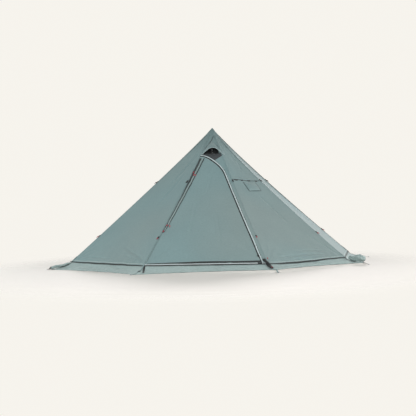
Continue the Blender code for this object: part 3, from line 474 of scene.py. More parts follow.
@dataclass(frozen=True)
class Crease:
    """A straight fold left in the cloth of one face, told by its two ends."""

    face: int
    start: tuple[float, float]
    end: tuple[float, float]
    depth: float = 0.0055
    width: float = 0.022

    def height(self, across: float, level: float, steep: float = 1.45) -> float:
        """Returns how far the fold lifts or sinks the cloth.

        Args:
            across: level distance right of the face's middle.
            level: height over the ground.
            steep: length up the cloth for one metre of height.
        """
        x0, y0 = self.start[0], self.start[1] * steep
        run_x, run_y = self.end[0] - x0, self.end[1] * steep - y0
        length = math.hypot(run_x, run_y)
        x, y = across - x0, level * steep - y0
        share = (x * run_x + y * run_y) / (length * length)
        off = (y * run_x - x * run_y) / length + 0.004 * math.sin(share * 9.0)
        if not -0.2 < share < 1.2 or abs(off) > self.width * 3.5:
            return 0.0
        fade = min(max((0.5 - abs(share - 0.5) + 0.08) / 0.22, 0.0), 1.0)
        turn = off / self.width
        return -2.9 * self.depth * fade * (0.9 * turn + 0.35) * math.exp(-turn * turn)


CREASES = (
    Crease(1, (-0.50, 0.162), (0.56, 0.166), 0.0060),
    Crease(1, (-0.05, 0.235), (0.52, 0.196), 0.0045),
    Crease(1, (-0.55, 0.128), (0.66, 0.138), 0.0030, 0.014),
    Crease(1, (0.114, 1.578), (0.058, 1.348), 0.0040),
    Crease(1, (0.40, 0.42), (0.70, 0.14), 0.0050, 0.020),
    Crease(1, (0.02, 1.02), (0.20, 0.60), 0.0035, 0.024),
    Crease(7, (0.10, 0.30), (0.80, 0.13), 0.0060),
    Crease(7, (0.30, 0.20), (0.79, 0.115), 0.0045, 0.012),
    Crease(7, (-0.62, 0.17), (0.05, 0.15), 0.0040),
    Crease(7, (0.06, 1.62), (-0.02, 1.20), 0.0050, 0.022),
    Crease(7, (0.10, 1.30), (0.06, 0.90), 0.0035, 0.024),
    Crease(0, (-0.55, 0.30), (-0.76, 0.14), 0.0045),
    Crease(0, (-0.20, 0.90), (-0.26, 0.50), 0.0030, 0.026),
    Crease(0, (0.10, 0.72), (0.16, 0.34), 0.0028, 0.026),
    Crease(0, (-0.02, 1.34), (-0.05, 1.02), 0.0030, 0.022),
    Crease(2, (-0.10, 0.40), (-0.60, 0.13)),
    Crease(3, (0.20, 0.50), (0.66, 0.14)),
    Crease(4, (-0.25, 0.45), (-0.70, 0.14)),
    Crease(4, (0.10, 1.20), (0.14, 0.80), 0.0035, 0.024),
    Crease(5, (0.22, 0.38), (0.72, 0.13)),
    Crease(6, (-0.18, 0.52), (-0.68, 0.14)),
    Crease(6, (0.05, 1.05), (0.12, 0.66), 0.0035, 0.024),
)


@dataclass(frozen=True)
class Drape:
    """How the stretched cloth departs from its plain surface: slack, ripples, rays and creases."""

    form: TentForm
    slack: float = 0.009
    ripple: float = 0.0016
    ray: float = 0.0034
    crumple: float = 0.0034
    creases: tuple[Crease, ...] = CREASES

    def calm(self, face: int, height: float, across: float) -> float:
        """Returns 0 where sewn trim holds the cloth flat, up to 1 where it is free.

        Args:
            face: number of the face.
            height: height over the ground.
            across: level distance right of the face's middle.
        """
        zones = {0: ((0.0, 1.64, 0.30, 0.17),), 1: ((0.02, 1.13, 0.25, 0.14),)}
        free = min(max((1.872 - height) / 0.12, 0.0), 1.0)
        if face == 0:
            left = across + self.form.width(0, height) * 0.5
            free *= min(max((left - 0.075) / 0.09, 0.12), 1.0)
        for x, z, half_width, half_height in zones.get(face, ()):
            away = math.hypot((across - x) / half_width, (height - z) / half_height)
            free = min(free, min(max(away - 0.8, 0.0) / 0.5, 1.0))
        return free

    def relief(self, face: int, height: float, along: float) -> float:
        """Returns the distance that the cloth stands proud, or sinks where it is negative.

        Args:
            face: number of the face.
            height: height over the ground.
            along: level distance from the left ridge.
        """
        width = self.form.width(face, height)
        share = along / width
        edge = min(share, 1.0 - share)
        fade = min(max(edge / 0.06, 0.0), 1.0)
        climb = (height - self.form.hem_height) * 1.45
        fall = (self.form.peak_height - height) * 1.45
        across = along - width * 0.5
        sag = -self.slack * (1.0 - (2.0 * share - 1.0) ** 2) * math.sin(math.pi * min(climb / 2.7,
                                                                                      1.0)) ** 0.7
        seed = Vector((across * 1.3, climb * 0.9, face * 7.3))
        waver = noise.noise(seed) * 2.4
        hem = math.exp(-climb / 0.22) * self.ripple * math.sin(across * math.tau / 0.155 + waver)
        rays = 0.0
        for corner in (along, width - along):
            reach = math.hypot(corner, climb)
            turn = math.atan2(climb, max(corner, 1e-4))
            rays += self.ray * math.sin(turn * 17.0 + face
                                        + waver) * math.exp(-reach / 0.42) * min(reach / 0.10, 1.0)
        turn = across / max(fall, 0.05)
        peak = 0.0030 * math.sin(turn * 42.0 + face * 2.1) * math.exp(-fall / 0.55) * min(fall / 0.15, 1.0)
        broad = noise.noise(Vector((across * 1.7, climb * 1.1, face * 3.1 + 5.0))) * self.crumple
        folds = noise.noise(Vector((across * 5.5, climb * 3.2, face * 1.7 + 9.0))) * self.crumple * 0.32
        crease = -abs(noise.noise(Vector((across * 2.6 + climb * 1.4, climb * 0.7,
                                          face * 5.0)))) * self.crumple
        sharp = sum(line.height(across, height) for line in self.creases if line.face == face)
        whole = sag + (hem + rays + peak + broad + folds + crease + sharp) * fade
        return whole * self.calm(face, height, across) * min(climb / 0.02, 1.0)


# Shared ways of making pieces


def between(low: float, high: float, step: float, breaks: Iterable[float] = ()) -> list[float]:
    """Returns values from low to high, no further than step apart, through the breaks.

    Args:
        low: first value.
        high: last value.
        step: widest spacing.
        breaks: values that must be among them.
    """
    knots = [low, *sorted(value for value in breaks if low < value < high), high]
    found = [low]
    for start, end in zip(knots, knots[1:]):
        count = max(1, math.ceil((end - start) / step - 1e-6))
        found += [start + (end - start) * number / count for number in range(1, count + 1)]
    return found


def as_object(name: str, mesh: bmesh.types.BMesh, finish: bpy.types.Material, smooth: bool = True,
              sharp: float = 50.0) -> bpy.types.Object:
    """Puts a bmesh into the scene.

    Args:
        name: the piece's name.
        mesh: shape in world coordinates, freed here.
        finish: material of every face.
        smooth: whether faces are shaded smooth.
        sharp: least angle of a sharp edge, in degrees.

    Returns:
        The object, at the origin.
    """
    data = bpy.data.meshes.new(name)
    mesh.to_mesh(data)
    mesh.free()
    data.materials.append(finish)
    if smooth:
        data.shade_smooth()
        data.set_sharp_from_angle(angle=math.radians(sharp))
    made = bpy.data.objects.new(name, data)
    bpy.context.scene.collection.objects.link(made)
    return made


def cloth_grid(name: str, rows: Sequence[Row], finish: bpy.types.Material, thickness: float,
               missing: Callable[[int, int], bool] | None = None,
               edge_bend: bool = False) -> tuple[bpy.types.Object, float]:
    """Makes a sheet of cloth from rows of points.

    Args:
        name: the piece's name.
        rows: points from left to right, from the lowest row up.
        finish: the cloth.
        thickness: thickness, which goes inward.
        missing: tells which cells are left open, by row and column.
        edge_bend: whether sharp edges inside the sheet stay sharp.

    Returns:
        The object and its flat area.
    """
    mesh = bmesh.new()
    weave = mesh.loops.layers.uv.new("weave")
    grid = [[mesh.verts.new(point) for point in row] for row in rows]
    places: dict[bmesh.types.BMVert, tuple[float, float]] = {}
    climb = 0.0
    for number, row in enumerate(rows):
        middle = len(row) // 2
        if number:
            climb += (row[middle] - rows[number - 1][middle]).length
        run = [0.0]
        for before, after in zip(row, row[1:]):
            run.append(run[-1] + (after - before).length)
        for vertex, distance in zip(grid[number], run):
            places[vertex] = (distance - run[middle], climb)
    area = 0.0
    for i in range(len(rows) - 1):
        for j in range(len(rows[0]) - 1):
            if missing and missing(i, j):
                continue
            face = mesh.faces.new((grid[i][j], grid[i][j + 1], grid[i + 1][j + 1], grid[i + 1][j]))
            area += face.calc_area()
            for loop in face.loops:
                loop[weave].uv = places[loop.vert]
    for vertex in [vertex for vertex in mesh.verts if not vertex.link_faces]:
        mesh.verts.remove(vertex)
    made = as_object(name, mesh, finish, sharp=50.0 if edge_bend else 80.0)
    wall = made.modifiers.new("thickness", "SOLIDIFY")
    wall.thickness = thickness
    wall.offset = -1.0
    return made, area


@dataclass(frozen=True)
class Course:
    """A path with its outward directions, which ribbons and stitches follow."""

    points: tuple[Vector, ...]
    outs: tuple[Vector, ...]

    def frames(self) -> list[tuple[Vector, Vector, Vector, float]]:
        """Returns each point, its direction to the right, its outward one and the run so far."""
        found = []
        run = 0.0
        for number, (point, out) in enumerate(zip(self.points, self.outs)):
            before = self.points[max(number - 1, 0)]
            after = self.points[min(number + 1, len(self.points) - 1)]
            if number:
                run += (point - self.points[number - 1]).length
            right = (after - before).cross(out).normalized()
            found.append((point, right, right.cross(after - before).normalized(), run))
        return found

    def shifted(self, right: float, out: float) -> "Course":
        """Returns the course moved across and outward."""
        moved = tuple(point + side * right + up * out for point, side, up, _ in self.frames())
        return Course(moved, self.outs)

    @property
    def length(self) -> float:
        """Length along the points."""
        return sum((after - before).length for before, after in zip(self.points, self.points[1:]))


Profile = Sequence[tuple[float, float]]


def ribbon(name: str, course: Course, profile: Profile | Callable[[float], Profile],
           finish: bpy.types.Material, sharp: float = 50.0) -> bpy.types.Object:
    """Sweeps a closed outline along a course.

    Args:
        name: the piece's name.
        course: path to follow.
        profile: outline as (across, out) pairs, counted anticlockwise seen from the start, or a
            function that gives it for a share of the length.
        finish: material.
        sharp: least angle of a sharp edge, in degrees.

    Returns:
        The closed piece.
    """
    mesh = bmesh.new()
    weave = mesh.loops.layers.uv.new("weave")
    rings = []
    runs = []
    whole = max(course.length, 1e-6)
    for point, right, out, run in course.frames():
        outline = profile(run / whole) if callable(profile) else profile
        rings.append([mesh.verts.new(point + right * x + out * y) for x, y in outline])
        runs.append(run)
    outline = profile(0.0) if callable(profile) else profile
    girth = [0.0]
    for number in range(len(outline)):
        a, b = outline[number], outline[(number + 1) % len(outline)]
        girth.append(girth[-1] + math.dist(a, b))
    for i, (ring, after) in enumerate(zip(rings, rings[1:])):
        for j in range(len(ring)):
            k = (j + 1) % len(ring)
            face = mesh.faces.new((ring[j], ring[k], after[k], after[j]))
            uvs = ((girth[j], runs[i]), (girth[j + 1], runs[i]), (girth[j + 1], runs[i + 1]),
                   (girth[j], runs[i + 1]))
            for loop, uv in zip(face.loops, uvs):
                loop[weave].uv = uv
    mesh.faces.new(list(reversed(rings[0])))
    mesh.faces.new(rings[-1])
    bmesh.ops.recalc_face_normals(mesh, faces=mesh.faces)
    return as_object(name, mesh, finish, sharp=sharp)


def oval(width: float, height: float, points: int = 10, sink: float = 0.0) -> list[tuple[float, float]]:
    """Returns an oval outline.

    Args:
        width: whole width across.
        height: whole height outward.
        points: corners of the outline.
        sink: how far the middle is moved outward.
    """
    return [(width * 0.5 * math.cos(math.tau * n / points),
             height * 0.5 * math.sin(math.tau * n / points) + sink)
            for n in range(points)]


def strap_outline(width: float, height: float) -> list[tuple[float, float]]:
    """Returns the outline of webbing with rounded edges, resting on its underside."""
    half, top, soft = width * 0.5, height, height * 0.35
    return [(-half + soft, 0.0), (half - soft, 0.0), (half, soft), (half, top - soft),
            (half - soft, top), (-half + soft, top), (-half, top - soft), (-half, soft)]


def dress(piece: bpy.types.Object, body: str, slot: str, *nodes: str) -> bpy.types.Object:
    """Makes a piece ride on a body, and hides the solids it stands for.

    Args:
        piece: the finished piece.
        body: body that it moves with.
        slot: the record's material slot; not used.
        nodes: solids that it replaces.

    Returns:
        The piece.
    """
    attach(piece, body)
    if nodes:
        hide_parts(*nodes)
    LOG.info("%s rides on %s", piece.name, body)
    return piece


# Geometry nodes


class RepeatTree:
    """A node tree that sets one small shape at even steps along paths."""

    def __init__(self, name: str) -> None:
        """Builds the tree with inputs for the shape, its spacing and its finish."""
        tree = bpy.data.node_groups.new(name, "GeometryNodeTree")
        face = tree.interface
        face.new_socket("Geometry", in_out="INPUT", socket_type="NodeSocketGeometry")
        self.shape = face.new_socket("Shape", in_out="INPUT", socket_type="NodeSocketObject").identifier
        self.spacing = face.new_socket("Spacing", in_out="INPUT", socket_type="NodeSocketFloat").identifier
        self.finish = face.new_socket("Finish", in_out="INPUT", socket_type="NodeSocketMaterial").identifier
        face.new_socket("Geometry", in_out="OUTPUT", socket_type="NodeSocketGeometry")
        node = tree.nodes.new
        link = tree.links.new
        start, end = node("NodeGroupInput"), node("NodeGroupOutput")
        curve, even = node("GeometryNodeMeshToCurve"), node("GeometryNodeResampleCurve")
        even.mode = "LENGTH"
        link(start.outputs["Geometry"], curve.inputs["Mesh"])
        link(curve.outputs["Curve"], even.inputs["Curve"])
        link(start.outputs["Spacing"], even.inputs["Length"])
        tangent = node("GeometryNodeInputTangent")
        outward = node("GeometryNodeInputNamedAttribute")
        turn = node("FunctionNodeAxesToRotation")
        outward.data_type = "FLOAT_VECTOR"
        outward.inputs["Name"].default_value = "outward"
        turn.primary_axis, turn.secondary_axis = "Z", "X"
        link(outward.outputs["Attribute"], turn.inputs["Primary Axis"])
        link(tangent.outputs["Tangent"], turn.inputs["Secondary Axis"])
        info, spread = node("GeometryNodeObjectInfo"), node("GeometryNodeInstanceOnPoints")
        link(start.outputs["Shape"], info.inputs["Object"])
        link(even.outputs["Curve"], spread.inputs["Points"])
        link(info.outputs["Geometry"], spread.inputs["Instance"])
        link(turn.outputs["Rotation"], spread.inputs["Rotation"])
        real, paint = node("GeometryNodeRealizeInstances"), node("GeometryNodeSetMaterial")
        link(spread.outputs["Instances"], real.inputs["Geometry"])
        link(real.outputs["Geometry"], paint.inputs["Geometry"])
        link(start.outputs["Finish"], paint.inputs["Material"])
        link(paint.outputs["Geometry"], end.inputs["Geometry"])
        self.tree = tree

    def along(self, name: str, courses: Sequence[Course], shape: bpy.types.Object, spacing: float,
              finish: bpy.types.Material) -> bpy.types.Object:
        """Repeats a shape along courses and returns the result as a plain mesh.

        Args:
            name: the piece's name.
            courses: paths to follow.
            shape: small shape with its length along X and its top at +Z.
            spacing: metres from one to the next.
            finish: material of them all.
        """
        points: list[Vector] = []
        outs: list[float] = []
        edges: list[tuple[int, int]] = []
        for course in courses:
            first = len(points)
            points += course.points
            for out in course.outs:
                outs += [*out]
            edges += [(first + n, first + n + 1) for n in range(len(course.points) - 1)]
        data = bpy.data.meshes.new(name + "_path")
        data.from_pydata(points, edges, [])
        data.attributes.new("outward", "FLOAT_VECTOR", "POINT").data.foreach_set("vector", outs)
        path = bpy.data.objects.new(name + "_path", data)
        bpy.context.scene.collection.objects.link(path)
        repeat = path.modifiers.new("repeat", "NODES")
        repeat.node_group = self.tree
        repeat[self.shape] = shape
        repeat[self.spacing] = spacing
        repeat[self.finish] = finish
        bpy.context.view_layer.update()
        graph = bpy.context.evaluated_depsgraph_get()
        result = bpy.data.meshes.new_from_object(path.evaluated_get(graph))
        result.name = name
        bpy.data.objects.remove(path)
        made = bpy.data.objects.new(name, result)
        bpy.context.scene.collection.objects.link(made)
        return made


def thread_shape(length: float, width: float, height: float) -> bpy.types.Object:
    """Makes one stitch or tooth: a bar with lowered ends, along X.

    Args:
        length: length along the seam.
        width: width across it.
        height: height over the cloth.

    Returns:
        A shape that is removed after use.
    """
    mesh = bmesh.new()
    rings = []
    for x, share in ((-0.5, 0.35), (-0.28, 1.0), (0.28, 1.0), (0.5, 0.35)):
        rings.append([mesh.verts.new((length * x, width * 0.5 * y * (0.6 + 0.4 * share), height * z * share))
                      for y, z in ((-1.0, 0.0), (1.0, 0.0), (0.6, 1.0), (-0.6, 1.0))])
    for ring, after in zip(rings, rings[1:]):
        for j in range(4):
            k = (j + 1) % 4
            mesh.faces.new((ring[j], ring[k], after[k], after[j]))
    mesh.faces.new(list(reversed(rings[0])))
    mesh.faces.new(rings[-1])
    bmesh.ops.recalc_face_normals(mesh, faces=mesh.faces)
    data = bpy.data.meshes.new("one_stitch")
    mesh.to_mesh(data)
    mesh.free()
    made = bpy.data.objects.new("one_stitch", data)
    bpy.context.scene.collection.objects.link(made)
    return made


# Sub-assemblies


@dataclass
class Canopy:
    """The cloth gores, their ridge seams and the cap over the peak."""

    form: TentForm
    drape: Drape
    wardrobe: Wardrobe
    cloth: float = 0.0009
    rim: float = 0.0004
    crease_top: float = 0.27
    crease_step: float = 0.0055
    panel_top: float = 1.966
    frame_top: float = 1.5634
    vent_low: float = 1.600
    vent_high: float = 1.700
    jack_low: float = 1.072
    jack_top: float = 1.172
    jack_left: float = 0.086
    jack_width: float = 0.225
    columns: int = 60
    fine_columns: int = 116
    row_step: float = 0.030
    fine_step: float = 0.015
    seam_width: float = 0.022
    seam_height: float = 0.0014
    fold_slope: float = 0.27
    cap_low: float = 1.881
    guy_heights: tuple[float, ...] = (0.455, 1.21)

    def sheet(self, name: str, face: int, heights: Sequence[float], stops: Callable[[float], list[float]],
              missing: Callable[[int, int], bool] | None = None,
              proud: float = 0.0) -> tuple[bpy.types.Object, float, float]:
        """Makes a draped sheet on a face.

        Args:
            name: the piece's name.
            face: number of the face.
            heights: levels of its rows.
            stops: distances from the left ridge, for a level.
            missing: tells which cells are left open.
            proud: distance off the plain surface.

        Returns:
            The sheet, its widest row and its flat area.
        """
        rows = []
        widest = 0.0
        for height in heights:
            places = stops(height)
            widest = max(widest, places[-1] - places[0])
            rows.append([self.form.point(face, height, along, proud + self.drape.relief(face, height, along))
                         for along in places])
        made, area = cloth_grid(name, rows, self.wardrobe["canopy_cloth"], self.cloth, missing)
        return made, widest, area

    def slope_length(self, face: int, low: float, high: float) -> float:
        """Returns the length up the middle of a face between two levels."""
        middle = [self.form.point(face, z, self.form.width(face, z) * 0.5) for z in between(low, high, 0.05)]
        return sum((after - before).length for before, after in zip(middle, middle[1:]))

    def declare(self, piece: bpy.types.Object, width: float, length: float, area: float, held: str) -> None:
        """Takes a sheet of cloth with the size that it was cut to, and does nothing with it."""

    def gore(self, face: int) -> None:
        """Makes one whole gore, with the stove jack's window in the one beside the door."""
        low, high = self.form.hem_height, self.panel_top
        name = "gore_" + self.form.faces[face]
        if face == 1:
            heights = between(low, self.crease_top, self.crease_step)
            heights += between(self.crease_top, high, self.fine_step, (self.jack_low, self.jack_top))[1:]

            def stops(height: float) -> list[float]:
                """Returns where the columns of a row stand.

                Args:
                    height: level of the row.

                Returns:
                    Distances from the left ridge.
                """
                width = self.form.width(face, height)
                share = min(width / self.form.width(face, self.jack_top), 1.0)
                left = width * 0.5 - self.jack_left * share
                right = width * 0.5 + (self.jack_width - self.jack_left) * share
                return (split(self.rim, left, 50) + split(left, right, 16)[1:]
                        + split(right, width - self.rim, 50)[1:])

            def missing(row: int, column: int) -> bool:
                """Returns whether a cell lies in the stove jack's window.

                Args:
                    row: row of the cell.
                    column: column of the cell.

                Returns:
                    Whether the cell is left out.
                """
                inside = self.jack_low - LEVEL_SLACK < heights[row] < self.jack_top - LEVEL_SLACK
                return inside and 50 <= column < 66

            sheet = self.sheet(name, face, heights, stops, missing)
        else:
            near = face == self.form.sides - 1
            heights = between(low, self.crease_top, self.crease_step if near else self.row_step)
            heights += between(self.crease_top, high, self.fine_step if near else self.row_step)[1:]
            columns = self.fine_columns if near else self.columns
            sheet = self.sheet(name, face, heights,
                               lambda height: split(self.rim, self.form.width(face, height) - self.rim,
                                                    columns))
        piece, width, area = sheet
        dress(piece, "root", "canopy_cloth", "panel_" + self.form.faces[face])
        self.declare(piece, width, self.slope_length(face, low, high), area, "stretched")

    def vent_gore(self) -> None:
        """Makes the front gore above the door, with the vent's opening."""
        heights = between(self.frame_top + 0.0005, self.panel_top, 0.012, (self.vent_low, self.vent_high))

        def stops(height: float) -> list[float]:
            """Returns where the columns of a row stand.

            Args:
                height: level of the row.

            Returns:
                Distances from the left ridge.
            """
            width = self.form.width(0, height)
            margin = min(0.035, width * 0.25)
            return (split(self.rim, margin, 5) + split(margin, width - margin, 20)[1:]
                    + split(width - margin, width - self.rim, 5)[1:])

        def missing(row: int, column: int) -> bool:
            """Returns whether a cell lies in the vent's opening.

            Args:
                row: row of the cell.
                column: column of the cell.

            Returns:
                Whether the cell is left out.
            """
            inside = self.vent_low - LEVEL_SLACK < heights[row] < self.vent_high - LEVEL_SLACK
            return inside and 5 <= column < 25

        piece, width, area = self.sheet("gore_front_above_door", 0, heights, stops, missing)
        dress(piece, "root", "canopy_cloth", "panel_front")
        self.declare(piece, width, self.slope_length(0, heights[0], self.panel_top), area, "stretched")

    def seam_course(self, ridge: int, low: float, high: float, proud: float = 0.0) -> Course:
        """Returns the path up a ridge."""
        heights = between(low, high, 0.035)
        return Course(tuple(self.form.ridge_point(ridge, z, proud) for z in heights),
                      tuple(self.form.ridge_normal(ridge, z) for z in heights))

    def seam_outline(self, ridge: int) -> list[tuple[float, float]]:
        """Returns the outline of a folded seam that wraps its ridge."""
        half = self.seam_width * 0.5
        right = 0.0008 if ridge == 0 else half
        places = [-half, -half * 0.86, -half * 0.5, -half * 0.15]
        places += [right] if ridge == 0 else [0.0, half * 0.15, half * 0.5, half * 0.86, half]
        under = [(x, -abs(x) * self.fold_slope + 0.0002) for x in places]
        raised = (0.5, 1.0, 1.0, 1.0, 1.0, 1.0, 1.0, 1.0, 0.5)[:len(places)]
        top = [(x, y + self.seam_height * share) for (x, y), share in zip(under, raised)]
        return under + top[::-1]

    def seam(self, ridge: int) -> None:
        """Makes the folded seam over a ridge, with its guy loops and their cord knots."""
        course = self.seam_course(ridge, self.form.hem_height, self.cap_low - 0.0003)
        name = self.form.ridges[ridge]
        tape = ribbon("seam_" + name, course, self.seam_outline(ridge), self.wardrobe["seam_tape"])
        dress(tape, "root", "seam_tape", "ridge_seam_" + name)
        # On these ridges a dark line beside the seam is painted shadow of the folded seam allowance.
        if ridge > 2:
            edge = course.shifted(-self.seam_width * 0.5, 0.0012 - self.seam_width * 0.5 * self.fold_slope)
            piping = ribbon("seam_piping_" + name, edge, oval(0.0062, 0.0034, 8), self.wardrobe["dark_edge"])
            dress(piping, "root", "seam_tape")
        for number, height in enumerate(self.guy_heights):
            side = -0.0092 if ridge == 0 else 0.0
            here = self.seam_course(ridge, height - 0.020, height + 0.020, 0.0022)
            loop_points = []
            frames = here.frames()
            centre, right, out, _ = frames[len(frames) // 2]
            up = out.cross(right)
            for step in range(17):
                turn = math.tau * step / 16
                loop_points.append(centre + right * side + up * 0.0155 * math.cos(turn)
                                   + out * (0.0022 + 0.0022 * math.sin(turn)))
            outs = tuple((point - centre - right * side - out * 0.0022).normalized() for point in loop_points)
            loop = ribbon(f"guy_loop_{name}_{number}", Course(tuple(loop_points), outs),
                          strap_outline(0.018, 0.0012), self.wardrobe["black_webbing"])
            dress(loop, "root", "seam_tape")
            low = centre + right * side - up * 0.024 + out * 0.0055
            knot(f"guy_knot_{name}_{number}", low, out, self.wardrobe["cord" if number else "red_cord"],
                 "root", 0.0105)

    def stitch_courses(self, ridge: int) -> list[Course]:
        """Returns the paths of a seam's two lines of stitches."""
        course = self.seam_course(ridge, self.form.hem_height + 0.01, self.cap_low - 0.01)
        shifts = (-0.0080,) if ridge == 0 else (-0.0080, 0.0080)
        return [course.shifted(x, self.seam_height - abs(x) * self.fold_slope + 0.0001) for x in shifts]

    def cap(self) -> None:
        """Makes the double layer of cloth over the peak, gathered under its stitched edge."""
        rows = []
        around = self.form.sides * 6
        heights = [*between(self.cap_low, 1.975, 0.008), 1.981, 1.9855]
        for height in heights:
            row = []
            for step in range(around + 1):
                ridge, share = divmod(step / 6, 1)
                proud = 0.0020 + 0.0012 * min((height - self.cap_low) / 0.03, 1.0)
                first = self.form.ridge_point(int(ridge), height, proud)
                second = self.form.ridge_point(int(ridge) + 1, height, proud)
                ripple = 0.0010 * math.sin(step * 1.9 + height * 60.0)
                point = first.lerp(second, share)
                level = Vector((point.x, point.y, 0.0))
                row.append(point + (level.normalized() * ripple if level.length > 1e-6 else level))
            rows.append(row)
        mesh = bmesh.new()
        weave = mesh.loops.layers.uv.new("weave")
        grid = [[mesh.verts.new(point) for point in row[:-1]] for row in rows]
        for i in range(len(grid) - 1):
            for j in range(around):
                k = (j + 1) % around
                face = mesh.faces.new((grid[i][j], grid[i][k], grid[i + 1][k], grid[i + 1][j]))
                for loop, uv in zip(face.loops, ((j, i), (j + 1, i), (j + 1, i + 1), (j, i + 1))):
                    loop[weave].uv = (uv[0] * 0.010, uv[1] * 0.011)
        mesh.faces.new(grid[-1])
        piece = as_object("peak_cloth", mesh, self.wardrobe["canopy_cloth"], sharp=60.0)
        wall = piece.modifiers.new("thickness", "SOLIDIFY")
        wall.thickness = 0.0016
        wall.offset = -1.0
        dress(piece, "root", "seam_tape", "peak_cap")

    def build(self) -> None:
        """Makes the whole canopy."""
        self.vent_gore()
        for face in range(1, self.form.sides):
            self.gore(face)
        for ridge in range(self.form.sides):
            self.seam(ridge)
        self.cap()


def split(low: float, high: float, count: int) -> list[float]:
    """Returns evenly spaced values with both ends."""
    return [low + (high - low) * n / count for n in range(count + 1)]


@dataclass
class Door:
    """The door leaf, its frame, the zip with its light storm band, the sill and the tied roll."""

    canopy: Canopy
    leaf_low: float = 0.1183
    leaf_top: float = 1.5621
    arch_start: float = 1.306
    arch_top: float = 1.566
    inset: float = 0.080
    hinge_room: float = 0.0022
    leaf_tape: float = 0.009
    frame_tape: float = 0.028
    band_width: float = 0.0165
    band_off: float = 0.0165
    band_height: float = 0.0065
    roll_rows: tuple[tuple[float, float, float, float], ...] = (
        (0.515, 0.017, 0.021, 0.027), (0.62, 0.018, 0.031, 0.044), (0.90, 0.020, 0.036, 0.053),
        (1.20, 0.022, 0.043, 0.062), (1.535, 0.026, 0.050, 0.074))

    @property
    def form(self) -> TentForm:
        """The canopy's surface."""
        return self.canopy.form

    def zip_along(self, height: float) -> float:
        """Returns the zip's distance from the left ridge."""
        run = self.form.width(0, height) - self.inset
        climb = (height - self.arch_start) / (self.arch_top - self.arch_start)
        return run * math.sqrt(max(1.0 - max(climb, 0.0) ** 2, 0.0))

    def levels(self) -> list[float]:
        """Returns levels up the door, close together round the arch."""
        arch = [self.arch_start + (self.leaf_top - self.arch_start) * math.sin(math.pi * 0.5 * n / 22)
                for n in range(1, 22)]
        straight = between(self.leaf_low, self.arch_start, self.canopy.fine_step)
        return [*straight, *arch, self.leaf_top]

    def leaf(self) -> None:
        """Makes the leaf of cloth."""
        piece, width, area = self.canopy.sheet(
            "door_cloth", 0, self.levels(),
            lambda height: split(self.hinge_room, self.zip_along(height) - 0.004, 112))
        dress(piece, "door", "canopy_cloth", "door_leaf")
        self.canopy.declare(piece, width, self.canopy.slope_length(0, self.leaf_low, self.leaf_top), area,
                            "hung")

    def frame(self) -> None:
        """Makes the fixed cloth between the zip and the right ridge."""
        piece, width, area = self.canopy.sheet(
            "door_frame_cloth", 0, self.levels(),
            lambda height: split(self.zip_along(height) + 0.004, self.form.width(0, height) - self.canopy.rim,
                                 14))
        dress(piece, "root", "canopy_cloth", "door_frame_right")
        self.canopy.declare(piece, width, self.canopy.slope_length(0, self.leaf_low, self.leaf_top), area,
                            "stretched")

    def zip_course(self, off: float, proud: float = 0.0, low: float = 0.1183, top: bool = True) -> Course:
        """Returns the zip's path, moved to the right by off.

        Args:
            off: distance to the right of the zip line.
            proud: distance over the cloth.
            low: level where it starts.
            top: whether it goes on round the arch to the left ridge.
        """
        points = []
        outs = []
        heights = between(low, self.arch_start, 0.03)
        for height in heights:
            along = self.zip_along(height)
            points.append(self.form.point(0, height, along + off, proud + self.relief(height, along)))
            outs.append(self.form.normal(0, height))
        for step in range(1, 25 if top else 20):
            turn = math.pi * 0.5 * step / 24
            height = self.arch_start + (self.arch_top - self.arch_start) * math.sin(turn)
            run = (self.form.width(0, height) - self.inset) * math.cos(turn)
            height += off * math.sin(turn) * 0.69
            points.append(self.form.point(0, height, max(run + off * math.cos(turn), 0.001),
                                          proud + self.relief(min(height, self.leaf_top), run)))
            outs.append(self.form.normal(0, height))
        return Course(tuple(points), tuple(outs))

    def relief(self, height: float, along: float) -> float:
        """Returns the cloth's own relief beside the zip."""
        return self.canopy.drape.relief(0, height, along)

    def zip_tapes(self) -> None:
        """Makes the two dark tapes, one on the leaf and one on the frame under the storm band."""
        wardrobe = self.canopy.wardrobe
        left = ribbon("zip_tape_leaf", self.zip_course(-self.leaf_tape * 0.5 - 0.0006, 0.0002),
                      strap_outline(self.leaf_tape, 0.0012), wardrobe["zip_tape"])
        dress(left, "door", "black_webbing")
        right = ribbon("zip_tape_frame", self.zip_course(self.frame_tape * 0.5 + 0.0006, 0.0002),
                       strap_outline(self.frame_tape, 0.0012), wardrobe["zip_tape"])
        dress(right, "root", "black_webbing")

    def storm_band(self) -> None:
        """Makes the light rolled band that shelters the zip."""
        half, top = self.band_width * 0.5, self.band_height

        def outline(share: float) -> list[tuple[float, float]]:
            """Returns the storm band's outline.

            Args:
                share: how far along it, from 0 to 1.

            Returns:
                Its points.
            """
            swell = 1.0 + 0.10 * math.sin(share * 41.0) + 0.06 * math.sin(share * 97.0)
            width = half * (0.86 + 0.14 * math.sin(share * 19.0))
            return [(-half, 0.0), (half, 0.0), (half, top * 0.25), (width * 0.7, top * 0.72 * swell),
                    (0.0, top * swell), (-width * 0.7, top * 0.86 * swell), (-half, top * 0.45)]

        band = ribbon("storm_band", self.zip_course(self.band_off, 0.0014), outline,
                      self.canopy.wardrobe["storm_cloth"], sharp=70.0)
        dress(band, "root", "canopy_cloth")

    def teeth(self, repeat: RepeatTree) -> None:
        """Makes the zip's two rows of teeth."""
        tooth = thread_shape(0.0022, 0.0030, 0.0014)
        for side, off in ((Side.LEAF, -0.0014), (Side.FRAME, 0.0014)):
            course = self.zip_course(off, 0.0009)
            piece = repeat.along("zip_teeth_" + side.name.lower(), [course], tooth, 0.0040,
                                 self.canopy.wardrobe["black_plastic"])
            dress(piece, side.value, "black_plastic")
        bpy.data.objects.remove(tooth)

